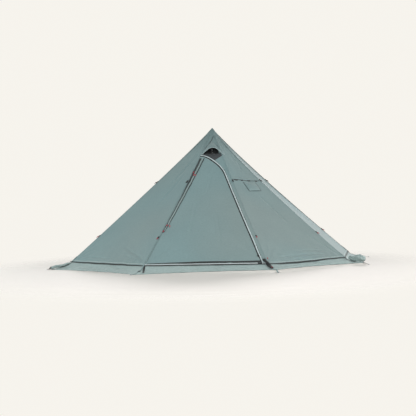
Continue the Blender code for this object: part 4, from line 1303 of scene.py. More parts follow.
    def level_course(self, start: float, end: float, height: Edge, proud: float, count: int = 60) -> Course:
        """Returns a nearly level path across the front face.

        Args:
            start: distance from the left ridge of its first point.
            end: distance from the left ridge of its last point.
            height: level, by distance from the left ridge.
            proud: distance over the cloth.
            count: number of steps.
        """
        points = []
        outs = []
        for along in split(start, end, count):
            points.append(self.form.point(0, height(along), along, proud))
            outs.append(self.form.normal(0, height(along)))
        return Course(tuple(points), tuple(outs))

    def sill(self) -> None:
        """Makes the sill strap: light webbing over a dark strip painted as the shadow gap under it, with a
        buckle.
        """
        low, high = self.form.hem_height, 0.118
        width = self.form.width(0, (low + high) * 0.5)
        wardrobe = self.canopy.wardrobe
        strap = ribbon("sill_strap",
                       self.level_course(0.002, width - 0.002, lambda x: 0.1105 + 0.0008 * math.sin(x * 21.0),
                                         0.0004),
                       strap_outline(0.013, 0.0022), wardrobe["light_webbing"])
        dress(strap, "root", "light_webbing", "door_sill_strap")
        # Painted shadow: the dark strip stands for the gap between the sill and the skirt.
        edge = ribbon("sill_lower_edge",
                      self.level_course(0.030, width - 0.002, lambda x: 0.0985 + 0.0008 * math.sin(x * 17.0),
                                        0.0012),
                      lambda share: strap_outline(0.006 + 0.006 * math.sin(math.pi * share) ** 0.5, 0.0026),
                      wardrobe["black_webbing"])
        dress(edge, "root", "black_webbing")
        self.buckle(width)

    def leaf_hem(self) -> None:
        """Makes the dark band painted as the shadow gap under the leaf's bottom edge, which widens towards
        the zip.
        """
        end = self.zip_along(self.leaf_low) - self.leaf_tape - 0.004

        def tall(share: float) -> float:
            """Returns the hem's height.

            Args:
                share: how far along it, from 0 to 1.

            Returns:
                The height.
            """
            return 0.007 + 0.026 * min(max((share - 0.02) / 0.40, 0.0), 1.0)

        course = self.level_course(
            0.030, end, lambda x: self.leaf_low + 0.0016 + tall(x / end) * 0.35 + 0.0012 * math.sin(x * 9.0),
            0.0006)
        # Painted shadow: the band stands for the gap under the leaf.
        piece = ribbon("leaf_hem", course, lambda share: oval(tall(share), 0.0046, 10),
                       self.canopy.wardrobe["zip_tape"])
        dress(piece, "door", "black_webbing")

    def buckle(self, width: float) -> None:
        """Makes the side-release buckle near the right corner."""
        course = self.level_course(width - 0.130, width - 0.075, lambda _: 0.109, 0.0030, 10)

        def outline(share: float) -> list[tuple[float, float]]:
            """Returns the buckle's outline.

            Args:
                share: how far along it, from 0 to 1.

            Returns:
                Its points.
            """
            waist = 1.0 - 0.22 * math.exp(-((share - 0.42) / 0.10) ** 2)
            lip = min(share, 1.0 - share)
            tall = 0.0048 * min(1.0, 0.55 + lip * 6.0)
            return strap_outline(0.024 * waist, tall)

        piece = ribbon("sill_buckle", course, outline,
                       self.canopy.wardrobe["black_plastic"])
        dress(piece, "root", "light_webbing")

    def roll_off(self, height: float, place: int) -> float:
        """Returns how far right of the left ridge a line of the tied roll runs.

        Args:
            height: height over the ground.
            place: 1 for its left edge, 2 for its crown and 3 for its right edge.
        """
        rows = self.roll_rows
        for low, high in zip(rows, rows[1:]):
            if height <= high[0]:
                share = max(height - low[0], 0.0) / (high[0] - low[0])
                return low[place] + (high[place] - low[place]) * share
        return rows[-1][place]

    def roll_course(self, place: int, low: float, high: float, proud: float) -> Course:
        """Returns the path of one line of the tied roll."""
        heights = between(low, high, 0.02)
        points = []
        for z in heights:
            waver = 0.0016 * math.sin(z * 31.0 + place) + 0.0010 * math.sin(z * 77.0 + place * 2.0)
            points.append(self.form.point(0, z, self.roll_off(z, place) + waver, proud))
        return Course(tuple(points), tuple(self.form.normal(0, z) for z in heights))

    def leaf_roll(self) -> None:
        """Makes the roll down the leaf's left side: a crown in a painted highlight, two dark lines painted as
        its shadows, and a line below it.
        """
        wardrobe = self.canopy.wardrobe
        low, high = self.roll_rows[0][0], self.roll_rows[-1][0]

        def left_edge(share: float) -> Profile:
            """Returns the left edge's outline.

            Args:
                share: how far along it, from 0 to 1.

            Returns:
                Its points.
            """
            wide = 0.014 + 0.019 * min(max((share - 0.45) / 0.35, 0.0), 1.0)
            return oval(wide, 0.0046, 10)

        def crown(share: float) -> Profile:
            """Returns the crown's outline.

            Args:
                share: how far along it, from 0 to 1.

            Returns:
                Its points.
            """
            swell = 1.0 + 0.12 * math.sin(share * 47.0)
            return oval(0.009 + 0.011 * min(share / 0.15, 1.0), 0.011 * swell, 12)

        def right_edge(share: float) -> Profile:
            """Returns the right edge's outline.

            Args:
                share: how far along it, from 0 to 1.

            Returns:
                Its points.
            """
            return oval(0.008 + 0.005 * min(share / 0.3, 1.0), 0.0052, 10)

        # The crown is a painted highlight and the two dark lines beside it are painted shadows.
        rows = (("roll_left_edge", 1, left_edge, "dark_edge"), ("roll_crown", 2, crown, "canopy_light"),
                ("roll_right_edge", 3, right_edge, "dark_edge"))
        for name, place, outline, finish in rows:
            piece = ribbon(name, self.roll_course(place, low, high, 0.0018), outline, wardrobe[finish])
            dress(piece, "door", "canopy_cloth")
        tail = ribbon("roll_tail", self.roll_course(1, 0.135, low, 0.0006), oval(0.0052, 0.0026, 8),
                      wardrobe["thread"])
        dress(tail, "door", "canopy_cloth")
        barrel = self.roll_course(1, 1.205, 1.240, 0.0070)
        piece = ribbon("roll_barrel", barrel,
                       lambda share: oval(0.020 - 0.012 * (2.0 * share - 1.0) ** 4, 0.012, 12),
                       wardrobe["black_plastic"])
        dress(piece, "door", "black_plastic")
        for number, (height, place) in enumerate(((0.535, 2), (0.612, 2), (1.335, 1), (1.300, 2))):
            here = self.form.point(0, height, self.roll_off(height, place), 0.0075)
            knot(f"roll_knot_{number}", here, self.form.normal(0, height), wardrobe["red_cord"], "door",
                 0.0125)

    def build(self, repeat: RepeatTree) -> None:
        """Makes the whole door."""
        self.leaf()
        self.frame()
        self.zip_tapes()
        self.storm_band()
        self.teeth(repeat)
        self.sill()
        self.leaf_hem()
        self.leaf_roll()


def knot(name: str, place: Vector, out: Vector, finish: bpy.types.Material, body: str,
         size: float = 0.0085, tail: float = 0.022) -> bpy.types.Object:
    """Makes a small cord knot with a hanging end.

    Args:
        name: the piece's name.
        place: middle of the knot.
        out: direction away from the cloth.
        finish: the cord's finish.
        body: body that it moves with.
        size: radius of its turns.
        tail: length of the hanging end.

    Returns:
        The knot.
    """
    level = out.cross(UP).normalized()
    up = level.cross(out).normalized()
    points = []
    outs = []
    for step in range(37):
        turn = math.tau * step / 15
        away = up * math.cos(turn) + out * math.sin(turn)
        points.append(place + away * size * 0.62 + level * (step / 36 - 0.5) * size * 1.3)
        outs.append(away)
    drop = (-up + out * 0.10).normalized()
    last = points[-1]
    for step in range(1, 6):
        points.append(last + drop * tail * step / 5 + level * 0.002 * math.sin(step * 1.3))
        outs.append(out)
    piece = ribbon(name, Course(tuple(points), tuple(outs)), oval(size * 0.55, size * 0.55, 8), finish)
    return dress(piece, body, "black_webbing")


@dataclass
class Vent:
    """The vent's net, its hood with a light piped brim, and the painted shade round it."""

    canopy: Canopy
    door: Door
    foot: float = 1.588
    rise: float = 0.100
    root_rise: float = 0.185
    lean: float = 0.014
    bulge: float = 0.013
    left: float = -0.152
    right: float = 0.192
    peak: float = 0.022
    steps: int = 44
    courses: int = 14

    def brim(self, turn: float) -> Vector:
        """Returns a point on the brim, from the left end at 0 to the right one at pi."""
        form = self.canopy.form
        middle, half = (self.left + self.right) * 0.5, (self.right - self.left) * 0.5
        x = middle - half * math.cos(turn)
        side = self.right if x > self.peak else self.left
        away = (x - self.peak) / (side - self.peak)
        pointed = math.cos(math.pi * 0.5 * min(away, 1.0) ** 1.15) ** 1.8
        level = self.foot + 0.009 - 0.011 * turn / math.pi
        foot = form.point(0, level, form.width(0, level) * 0.5 + x, 0.0045)
        return foot + (UP * (self.rise + self.foot - level) + form.outward(0.0) * self.lean) * pointed

    def root(self, turn: float) -> Vector:
        """Returns a point where the hood is sewn to the cloth above the vent."""
        form = self.canopy.form
        level = self.foot + self.root_rise * math.sin(turn)
        half = form.width(0, level) * 0.5
        return form.point(0, level, half - (half - 0.014) * math.cos(turn), 0.0012)

    def shell(self, shares: Sequence[float], lift: float, ripple: float) -> list[Row]:
        """Returns rows of points between the brim and the root.

        Args:
            shares: places of the rows, from the brim at 0 to the root at 1.
            lift: distance outward of all of them.
            ripple: height of the folds.
        """
        form = self.canopy.form
        hub = form.point(0, self.foot, form.width(0, self.foot) * 0.5)
        rows = []
        for share in shares:
            row = []
            for step in range(self.steps + 1):
                turn = math.pi * step / self.steps
                point = self.brim(turn).lerp(self.root(turn), share)
                out = (point - hub).normalized()
                fold = ripple * math.sin(turn * 13.0 + share * 2.0) * math.sin(math.pi * share)
                row.append(point
                           + out * (self.bulge * math.sin(math.pi * share) * math.sin(turn) + lift + fold))
            rows.append(row)
        return rows

    def hood(self) -> None:
        """Makes the hood's cloth, a near-black sheet inside it painted as the hood's inner shade, and the
        light piping on its brim.
        """
        wardrobe = self.canopy.wardrobe
        shares = split(0.0, 1.0, self.courses)
        piece, area = cloth_grid("hood_cloth", self.shell(shares, 0.0016, 0.0014), wardrobe["canopy_cloth"],
                                 0.0012)
        dress(piece, "root", "canopy_cloth", "vent_hood")
        # Painted shade: the inside of the hood is a near-black sheet.
        inside = [list(reversed(row))
                  for row in self.shell([0.06 + 0.90 * share for share in shares], -0.0012, 0.0)]
        painted_hood_shade, area = cloth_grid("hood_lining", inside, wardrobe["zip_tape"], 0.0008)
        dress(painted_hood_shade, "root", "canopy_cloth")
        turns = [math.pi * step / self.steps for step in range(self.steps + 1)]
        course = Course(tuple(self.brim(turn) for turn in turns),
                        tuple(self.canopy.form.outward(0.0) for _ in turns))
        pipe = ribbon("hood_piping", course, oval(0.0048, 0.0048, 8), wardrobe["storm_cloth"])
        dress(pipe, "root", "canopy_cloth")

    def seam(self) -> None:
        """Makes the dark line painted as the shadow of the fold from the hood's left end up to the peak."""
        form = self.canopy.form
        points = []
        levels = []
        for turn in split(0.06, 0.90, 12):
            root = self.root(turn)
            points.append(root + form.normal(0, root.z) * 0.0035)
            levels.append(root.z)
        stations = ((points[-1].z, 0.245), (1.775, 0.35), (1.815, 0.51), (1.862, 0.71))
        for (z0, s0), (z1, s1) in zip(stations, stations[1:]):
            for share in split(0.0, 1.0, 5)[1:]:
                z = z0 + (z1 - z0) * share
                points.append(form.point(0, z, form.width(0, z) * (s0 + (s1 - s0) * share), 0.0030))
                levels.append(z)
        outs = tuple(form.normal(0, z) for z in levels)
        piece = ribbon("hood_seam", Course(tuple(points), outs),
                       lambda share: oval(0.0105 - 0.004 * share, 0.0050, 8),
                       self.canopy.wardrobe["dark_edge"])
        dress(piece, "root", "seam_tape")

    def vent_shade_foot(self, x: float) -> float:
        """Returns the lowest level of the painted shade under the vent, beside the zip's arch."""
        door, form = self.door, self.canopy.form
        off, tip = 0.031, 0.048
        if x > tip:
            low = self.vent_shade_foot(tip)
            return low + (self.foot - 0.006 - low) * (x - tip) / (0.172 - tip)
        level = 1.57
        for _ in range(4):
            width = form.width(0, level)
            turn = math.acos(min(max((x + width * 0.5) / (width - door.inset + off), 0.0), 1.0))
            level = door.arch_start + (door.arch_top - door.arch_start + off * 0.69) * math.sin(turn)
        return level

    def painted_vent_shade(self) -> None:
        """Makes the dark pointed sheet painted as the shade between the vent's opening and the zip's arch."""
        form = self.canopy.form
        rows = []
        for share in split(0.0, 1.0, 8):
            row = []
            for x in split(-0.128, 0.166, 44):
                low = self.vent_shade_foot(x)
                high = self.foot + 0.012 + 0.046 * min(max((x - 0.118) / 0.014, 0.0), 1.0)
                level = low + (max(high, low + 0.004) - low) * share
                half = form.width(0, level) * 0.5
                row.append(form.point(0, level, half + min(x, half - 0.003), 0.0022))
            rows.append(row)
        piece, area = cloth_grid("vent_apron", rows, self.canopy.wardrobe["apron_cloth"], 0.0008)
        dress(piece, "root", "vent_net")

    def net(self) -> None:
        """Makes the fine net in the opening, as crossing threads."""
        form = self.canopy.form
        low, high = 1.601, 1.699
        lines = []
        for height in split(low, high, 26):
            width = form.width(0, height)
            margin = min(0.035, width * 0.25) + 0.001
            points = tuple(form.point(0, height, x, -0.0008) for x in split(margin, width - margin, 12))
            lines.append(Course(points, tuple(form.normal(0, height) for _ in points)))
        for share in split(0.0, 1.0, 44):
            points = []
            for height in split(low, high, 6):
                width = form.width(0, height)
                margin = min(0.035, width * 0.25) + 0.001
                points.append(form.point(0, height, margin + (width - 2 * margin) * share, -0.0010))
            lines.append(Course(tuple(points), tuple(form.normal(0, low) for _ in points)))
        mesh = bmesh.new()
        for line in lines:
            rings = []
            for point, right, out, _ in line.frames():
                rings.append([mesh.verts.new(point + right * x + out * y)
                              for x, y in ((0.00065, 0.0), (-0.0003, 0.0005), (-0.0003, -0.0005))])
            for ring, after in zip(rings, rings[1:]):
                for j in range(3):
                    k = (j + 1) % 3
                    mesh.faces.new((ring[j], ring[k], after[k], after[j]))
            mesh.faces.new(list(reversed(rings[0])))
            mesh.faces.new(rings[-1])
        bmesh.ops.recalc_face_normals(mesh, faces=mesh.faces)
        piece = as_object("net_mesh", mesh, self.canopy.wardrobe["vent_net"], smooth=False)
        dress(piece, "root", "vent_net", "vent_net")

    def build(self) -> None:
        """Makes the whole vent."""
        self.hood()
        self.seam()
        self.painted_vent_shade()
        self.net()


@dataclass
class StoveJack:
    """The heat-proof patch, the cover flap and the rolled keeper above it."""

    canopy: Canopy
    face: int = 1
    centre: tuple[float, float, float] = (0.583759, -0.571242, 1.122)
    right: tuple[float, float, float] = (0.617922, 0.786239, 0.0)
    upslope: tuple[float, float, float] = (-0.564398, 0.443572, 0.696203)
    out: tuple[float, float, float] = (0.547382, -0.4302, 0.717845)
    half_width: float = 0.1115
    half_length: float = 0.0708
    hole: float = 0.050
    flap_margin: float = 0.018
    flap_top: float = 0.010
    puff: float = 0.026
    hinge_puff: float = 0.25
    puff_growth: float = 3.0

    def patch(self) -> None:
        """Makes the patch with its pipe hole and two rings of cutting marks."""
        centre, right, up, out = (Vector(v) for v in (self.centre, self.right, self.upslope, self.out))
        rows = []
        bends = 48
        for share in (1.0, 0.75, 0.5, 0.3, 0.12, 0.0):
            row = []
            for step in range(bends + 1):
                turn = math.tau * step / bends
                x, y = math.cos(turn), math.sin(turn)
                stretch = min(self.half_width / max(abs(x), 1e-6), self.half_length / max(abs(y), 1e-6))
                rim = right * (x * stretch) + up * (y * stretch)
                hole = right * (x * self.hole) + up * (y * self.hole)
                raised = 0.0008 if share in (0.3, 0.12) else 0.0
                row.append(centre + hole.lerp(rim, share) + out * (raised - 0.0006))
            rows.append(row)
        mesh = bmesh.new()
        weave = mesh.loops.layers.uv.new("weave")
        grid = [[mesh.verts.new(point) for point in row[:-1]] for row in rows]
        for i in range(len(grid) - 1):
            for j in range(bends):
                k = (j + 1) % bends
                face = mesh.faces.new((grid[i][j], grid[i][k], grid[i + 1][k], grid[i + 1][j]))
                for loop in face.loops:
                    offset = loop.vert.co - centre
                    loop[weave].uv = (offset.dot(right), offset.dot(up))
        piece = as_object("heat_cloth", mesh, self.canopy.wardrobe["heat_patch"])
        wall = piece.modifiers.new("thickness", "SOLIDIFY")
        wall.thickness = 0.0010
        wall.offset = -1.0
        dress(piece, "root", "heat_patch", "stove_jack_patch")

    def flap_point(self, down: float, across: float, proud: float) -> Vector:
        """Returns a point of the flap, down from its top and across from its left edge."""
        form, canopy = self.canopy.form, self.canopy
        high = canopy.jack_top + self.flap_top
        low = canopy.jack_low - self.flap_margin
        level = high + (low - high) * down
        left = form.width(self.face, level) * 0.5 - canopy.jack_left - self.flap_margin
        along = left + (canopy.jack_width + 2 * self.flap_margin) * across
        lift = self.puff * max(math.sin(math.pi * down) * math.sin(math.pi * across), 0.0) ** 0.5
        lift *= min(self.hinge_puff + self.puff_growth * down, 1.0)
        wave = 0.0012 * math.sin(down * 9.0 + across * 5.0) * math.sin(math.pi * across)
        return form.point(self.face, level, along, 0.0016 + lift + wave + proud)

    def flap(self) -> None:
        """Makes the cover flap with its bound edge."""
        shares = split(0.0, 1.0, 26)
        rows = [[self.flap_point(1.0 - up, across, 0.0) for across in shares] for up in shares]
        piece, area = cloth_grid("flap_cloth", rows, self.canopy.wardrobe["canopy_cloth"], 0.0011)
        dress(piece, "stove_flap", "canopy_cloth", "stove_jack_flap")
        edge = [(0.0, 0.0), *((s, 0.0) for s in shares[1:]), *((1.0, s) for s in shares[1:]),
                *((1.0 - s, 1.0) for s in shares[1:])]
        points = tuple(self.flap_point(down, across, 0.0004) for down, across in edge)
        outs = tuple(Vector(self.out) for _ in points)
        binding = ribbon("flap_binding", Course(points, outs), oval(0.0075, 0.0030),
                         self.canopy.wardrobe["zip_tape"])
        dress(binding, "stove_flap", "canopy_cloth")

    def line(self, stations: Sequence[tuple[float, float]], proud: float) -> Course:
        """Returns a path over the face through stations.

        Args:
            stations: distance right of the face's middle and level of each.
            proud: distance over the cloth.
        """
        form = self.canopy.form
        points = []
        outs = []
        for (x0, z0), (x1, z1) in zip(stations, stations[1:]):
            for share in split(0.0, 1.0, 8)[:-1]:
                x, z = x0 + (x1 - x0) * share, z0 + (z1 - z0) * share
                along = form.width(self.face, z) * 0.5 + x
                relief = self.canopy.drape.relief(self.face, z, along)
                points.append(form.point(self.face, z, along, proud + relief))
                outs.append(form.normal(self.face, z))
        return Course(tuple(points), tuple(outs))

    def keeper(self) -> None:
        """Makes the keeper above the flap: a thin dark line and dark sagging rolls painted as its shadows,
        and a pale line painted as a highlight over it.
        """
        wardrobe = self.canopy.wardrobe
        base = self.line(((-0.275, 1.226), (-0.17, 1.219), (-0.06, 1.206), (0.05, 1.199), (0.165, 1.196),
                          (0.295, 1.199)), 0.0016)
        dress(ribbon("keeper_line", base, oval(0.0090, 0.0042), wardrobe["dark_edge"]), "root",
              "canopy_cloth")
        pale = self.line(((-0.250, 1.254), (0.027, 1.238), (0.295, 1.214)), 0.0008)
        dress(ribbon("keeper_hem", pale, oval(0.0100, 0.0040), wardrobe["canopy_light"]), "root",
              "canopy_cloth")
        rolls = ((-0.262, -0.172, 1.222), (-0.132, -0.070, 1.216), (0.008, 0.084, 1.206),
                 (0.172, 0.222, 1.200))
        for number, (start, end, level) in enumerate(rolls):
            stations = [(start + (end - start) * share, level - 0.008 * math.sin(math.pi * share))
                        for share in split(0.0, 1.0, 3)]

            def outline(share: float) -> list[tuple[float, float]]:
                """Returns the roll's outline.

                Args:
                    share: how far along it, from 0 to 1.

                Returns:
                    Its points.
                """
                swell = max(math.sin(math.pi * share), 0.0) ** 0.6
                return oval(0.007 + 0.017 * swell, 0.0035 + 0.003 * swell)

            # Painted shade: the rolls are near-black where the puckered keeper shades the cloth.
            roll = ribbon(f"keeper_roll_{number}", self.line(stations, 0.0022), outline, wardrobe["zip_tape"],
                          sharp=70.0)
            dress(roll, "root", "canopy_cloth")

    def build(self) -> None:
        """Makes the whole stove jack."""
        self.patch()
        self.flap()
        self.keeper()


@dataclass
class Skirt:
    """The snow skirt: eight gathered lengths of lighter cloth on the ground."""

    canopy: Canopy
    face_reach: float = 0.165
    corner_reach: float = 0.285
    thickness: float = 0.0012
    columns: int = 120
    runs: tuple[float, ...] = (0.0, 0.06, 0.14, 0.24, 0.34, 0.45, 0.56, 0.66, 0.76, 0.86, 0.94, 1.0)

    def drop(self, run: float) -> float:
        """Returns how far down towards the ground the skirt is, for a share of its reach."""
        stations = ((0.0, 0.02), (0.14, 0.34), (0.45, 0.70), (0.74, 0.93), (1.0, 0.98))
        for (r0, d0), (r1, d1) in zip(stations, stations[1:]):
            if run <= r1:
                share = (run - r0) / (r1 - r0)
                return d0 + (d1 - d0) * share
        return stations[-1][1]

    def point(self, face: int, share: float, run: float) -> Vector:
        """Returns a point of the skirt.

        Args:
            face: number of the face.
            share: place along the hem, from the left corner at 0 to the right one at 1.
            run: share of its reach, from the hem at 0 to the edge at 1.
        """
        form = self.canopy.form
        corner = abs(2 * share - 1) ** 2
        reach = self.face_reach + (self.corner_reach - self.face_reach) * corner
        fade = math.sin(math.pi * share) ** 0.5 if 0.0 < share < 1.0 else 0.0
        wave = math.sin(math.tau * 4 * share + face)
        waver = noise.noise(Vector((share * 9.0, face * 3.7, 1.0)))
        fine = math.sin(math.tau * 13 * share + 2.2 * waver + face * 1.3) * 0.5
        fine += noise.noise(Vector((share * 30.0, run * 2.5, face * 2.0))) * 0.8
        first = form.edge_lift[face]
        second = form.edge_lift[(face + 1) % form.sides]
        lift = first + (second - first) * share
        out = reach * run - 0.006 * (1.0 - run) + (0.012 * wave + 0.006 * fine) * fade * run
        ground = form.hem_height * lift + 0.018 * fade * 0.5 * (1.0 + wave)
        ground = ground * run + 0.0035 + 0.0045 * (1.0 + fine) * fade * run
        top = form.hem_height - 0.0012
        level = top + (ground - top) * self.drop(run)
        level += 0.0040 * fine * fade * math.sin(math.pi * run)
        swing = math.tau * (2.3 * share - 0.85 * run + 0.31 * face) + 2.4 * waver
        level += 0.0125 * math.sin(swing) * fade * math.sin(math.pi * min(run * 1.15, 1.0))
        level = max(level, self.thickness + 0.0008)
        if run > 0.97:
            level = max(form.hem_height * lift * 0.9, self.thickness) + 0.0012
        left = form.outward(form.azimuth(face)) * (form.radius(face, form.hem_height) + out)
        right = form.outward(form.azimuth(face + 1)) * (form.radius(face + 1, form.hem_height) + out)
        point = left.lerp(right, 0.0006 + share * 0.9988)
        return Vector((point.x, point.y, level))

    def length(self, face: int) -> None:
        """Makes the skirt of one face, hemmed at its edge."""
        shares = split(0.0, 1.0, self.columns)
        rows = [[self.point(face, share, run) for share in shares] for run in reversed(self.runs)]
        name = self.canopy.form.faces[face]
        piece, area = cloth_grid("skirt_cloth_" + name, rows, self.canopy.wardrobe["skirt_cloth"],
                                 self.thickness)
        dress(piece, "root", "skirt_cloth", "skirt_" + name)
        width = max((b - a).length for a,
                    b in ((rows[0][0], rows[0][-1]), (rows[-1][0], rows[-1][-1]))) * 1.05
        edge = rows[0]
        hem = Course(tuple(point + UP * 0.0004 for point in edge), tuple(UP for _ in edge))
        binding = ribbon("skirt_hem_" + name, hem, oval(0.012, 0.0026), self.canopy.wardrobe["skirt_cloth"])
        dress(binding, "root", "skirt_cloth")

    def hem_line(self, face: int) -> None:
        """Makes the dark line painted as the shadow gap where the skirt is sewn on under the hem, and the
        pale line painted as a highlight over it.
        """
        form = self.canopy.form
        width = form.width(face, form.hem_height)
        # The dark line is painted shadow, widest mid-face; the pale line above it is a painted highlight.
        for name, finish, rise, thick, low in (("hem_binding_", "zip_tape", 0.0, 0.0050, 0.012),
                                               ("hem_tape_", "skirt_cloth", 0.0190, 0.0046, 0.012)):
            points = []
            outs = []
            for along in split(0.002, width - 0.002, 70):
                waver = 0.0012 * math.sin(along * 17.0 + face)
                waver += 0.0010 * noise.noise(Vector((along * 12.0, face, 0.0)))
                sink = 0.011 * math.sin(math.pi * min(along / width * 1.3, 1.0)) if face == 1 else 0.0
                height = form.hem_height - 0.001 + rise + waver - sink
                points.append(form.point(face, height, along, 0.0006))
                outs.append(form.normal(face, height))
            swell = 0.011 if rise == 0.0 and face in (1, 7) else 0.002

            def outline(share: float, low: float = low, swell: float = swell,
                        thick: float = thick) -> Profile:
                """Returns the outline of the tape at one place.

                Args:
                    share: place along it.
                    low: its width at the ends.
                    swell: how much wider it is further in.
                    thick: its thickness.

                Returns:
                    The outline's points.
                """
                return oval(low + swell * math.sin(math.pi * share) ** 0.6, thick)

            piece = ribbon(name + form.faces[face], Course(tuple(points), tuple(outs)), outline,
                           self.canopy.wardrobe[finish])
            dress(piece, "root", "seam_tape")

    def gather(self, ridge: int, start: tuple[float, float], end: tuple[float, float], wide: float,
               tall: float,
               blunt: float) -> None:
        """Makes the bunch of skirt cloth tied at a corner.

        Args:
            ridge: number of the ridge.
            start: reach beyond the hem and height of its inner end.
            end: reach beyond the hem and height of its outer end.
            wide: greatest width.
            tall: greatest height.
            blunt: share of its size that its outer end keeps.
        """
        form = self.canopy.form
        azimuth = form.azimuth(ridge)
        away, right = form.outward(azimuth), form.across(azimuth)
        hem = form.radius(ridge, form.hem_height)
        points = []
        outs = []
        for share in split(0.0, 1.0, 28):
            reach = hem + start[0] + (end[0] - start[0]) * share
            height = start[1] + (end[1] - start[1]) * share + 0.004 * math.sin(share * 9.0 + ridge)
            points.append(away * reach + UP * height + right * 0.006 * math.sin(share * 6.0 + ridge))
            outs.append(UP)

        def outline(share: float) -> list[tuple[float, float]]:
            """Returns the bunched cloth's outline.

            Args:
                share: how far along it, from 0 to 1.

            Returns:
                Its points.
            """
            swell = 0.45 + 0.55 * math.sin(math.pi * 0.5 * min(share / 0.65, 1.0))
            if share > 0.72:
                swell *= math.sqrt(max(1.0 - ((share - 0.72) / 0.285) ** 2, 0.0)) * (1.0 - blunt) + blunt
            found = []
            for step in range(30):
                turn = math.tau * step / 30
                lobe = 1.0 + 0.15 * math.sin(turn * 5.0 + share * 8.0 + ridge)
                lobe += 0.10 * math.sin(turn * 9.0 - share * 17.0) + 0.05 * math.sin(share * 41.0
                                                                                     + turn * 3.0)
                found.append((wide * 0.5 * swell * lobe * math.cos(turn),
                              tall * 0.5 * swell * lobe * math.sin(turn)))
            return found

        name = form.ridges[ridge]
        piece = ribbon("corner_gather_" + name, Course(tuple(points), tuple(outs)), outline,
                       self.canopy.wardrobe["skirt_cloth"], sharp=75.0)
        dress(piece, "root", "skirt_cloth")

    def build(self) -> None:
        """Makes all eight lengths, their hems and the two bunched corners."""
        for face in range(self.canopy.form.sides):
            self.length(face)
            if face:
                self.hem_line(face)
        self.gather(2, (0.055, 0.092), (0.295, 0.086), 0.095, 0.088, 0.30)
        self.gather(7, (0.010, 0.084), (0.300, 0.019), 0.066, 0.036, 0.45)
        form = self.canopy.form
        away = form.outward(form.azimuth(7))
        tip = away * (form.radius(7, form.hem_height) + 0.294) + UP * 0.024
        knot("corner_knot_left", tip, (away + UP).normalized(), self.canopy.wardrobe["black_webbing"], "root",
             0.019)


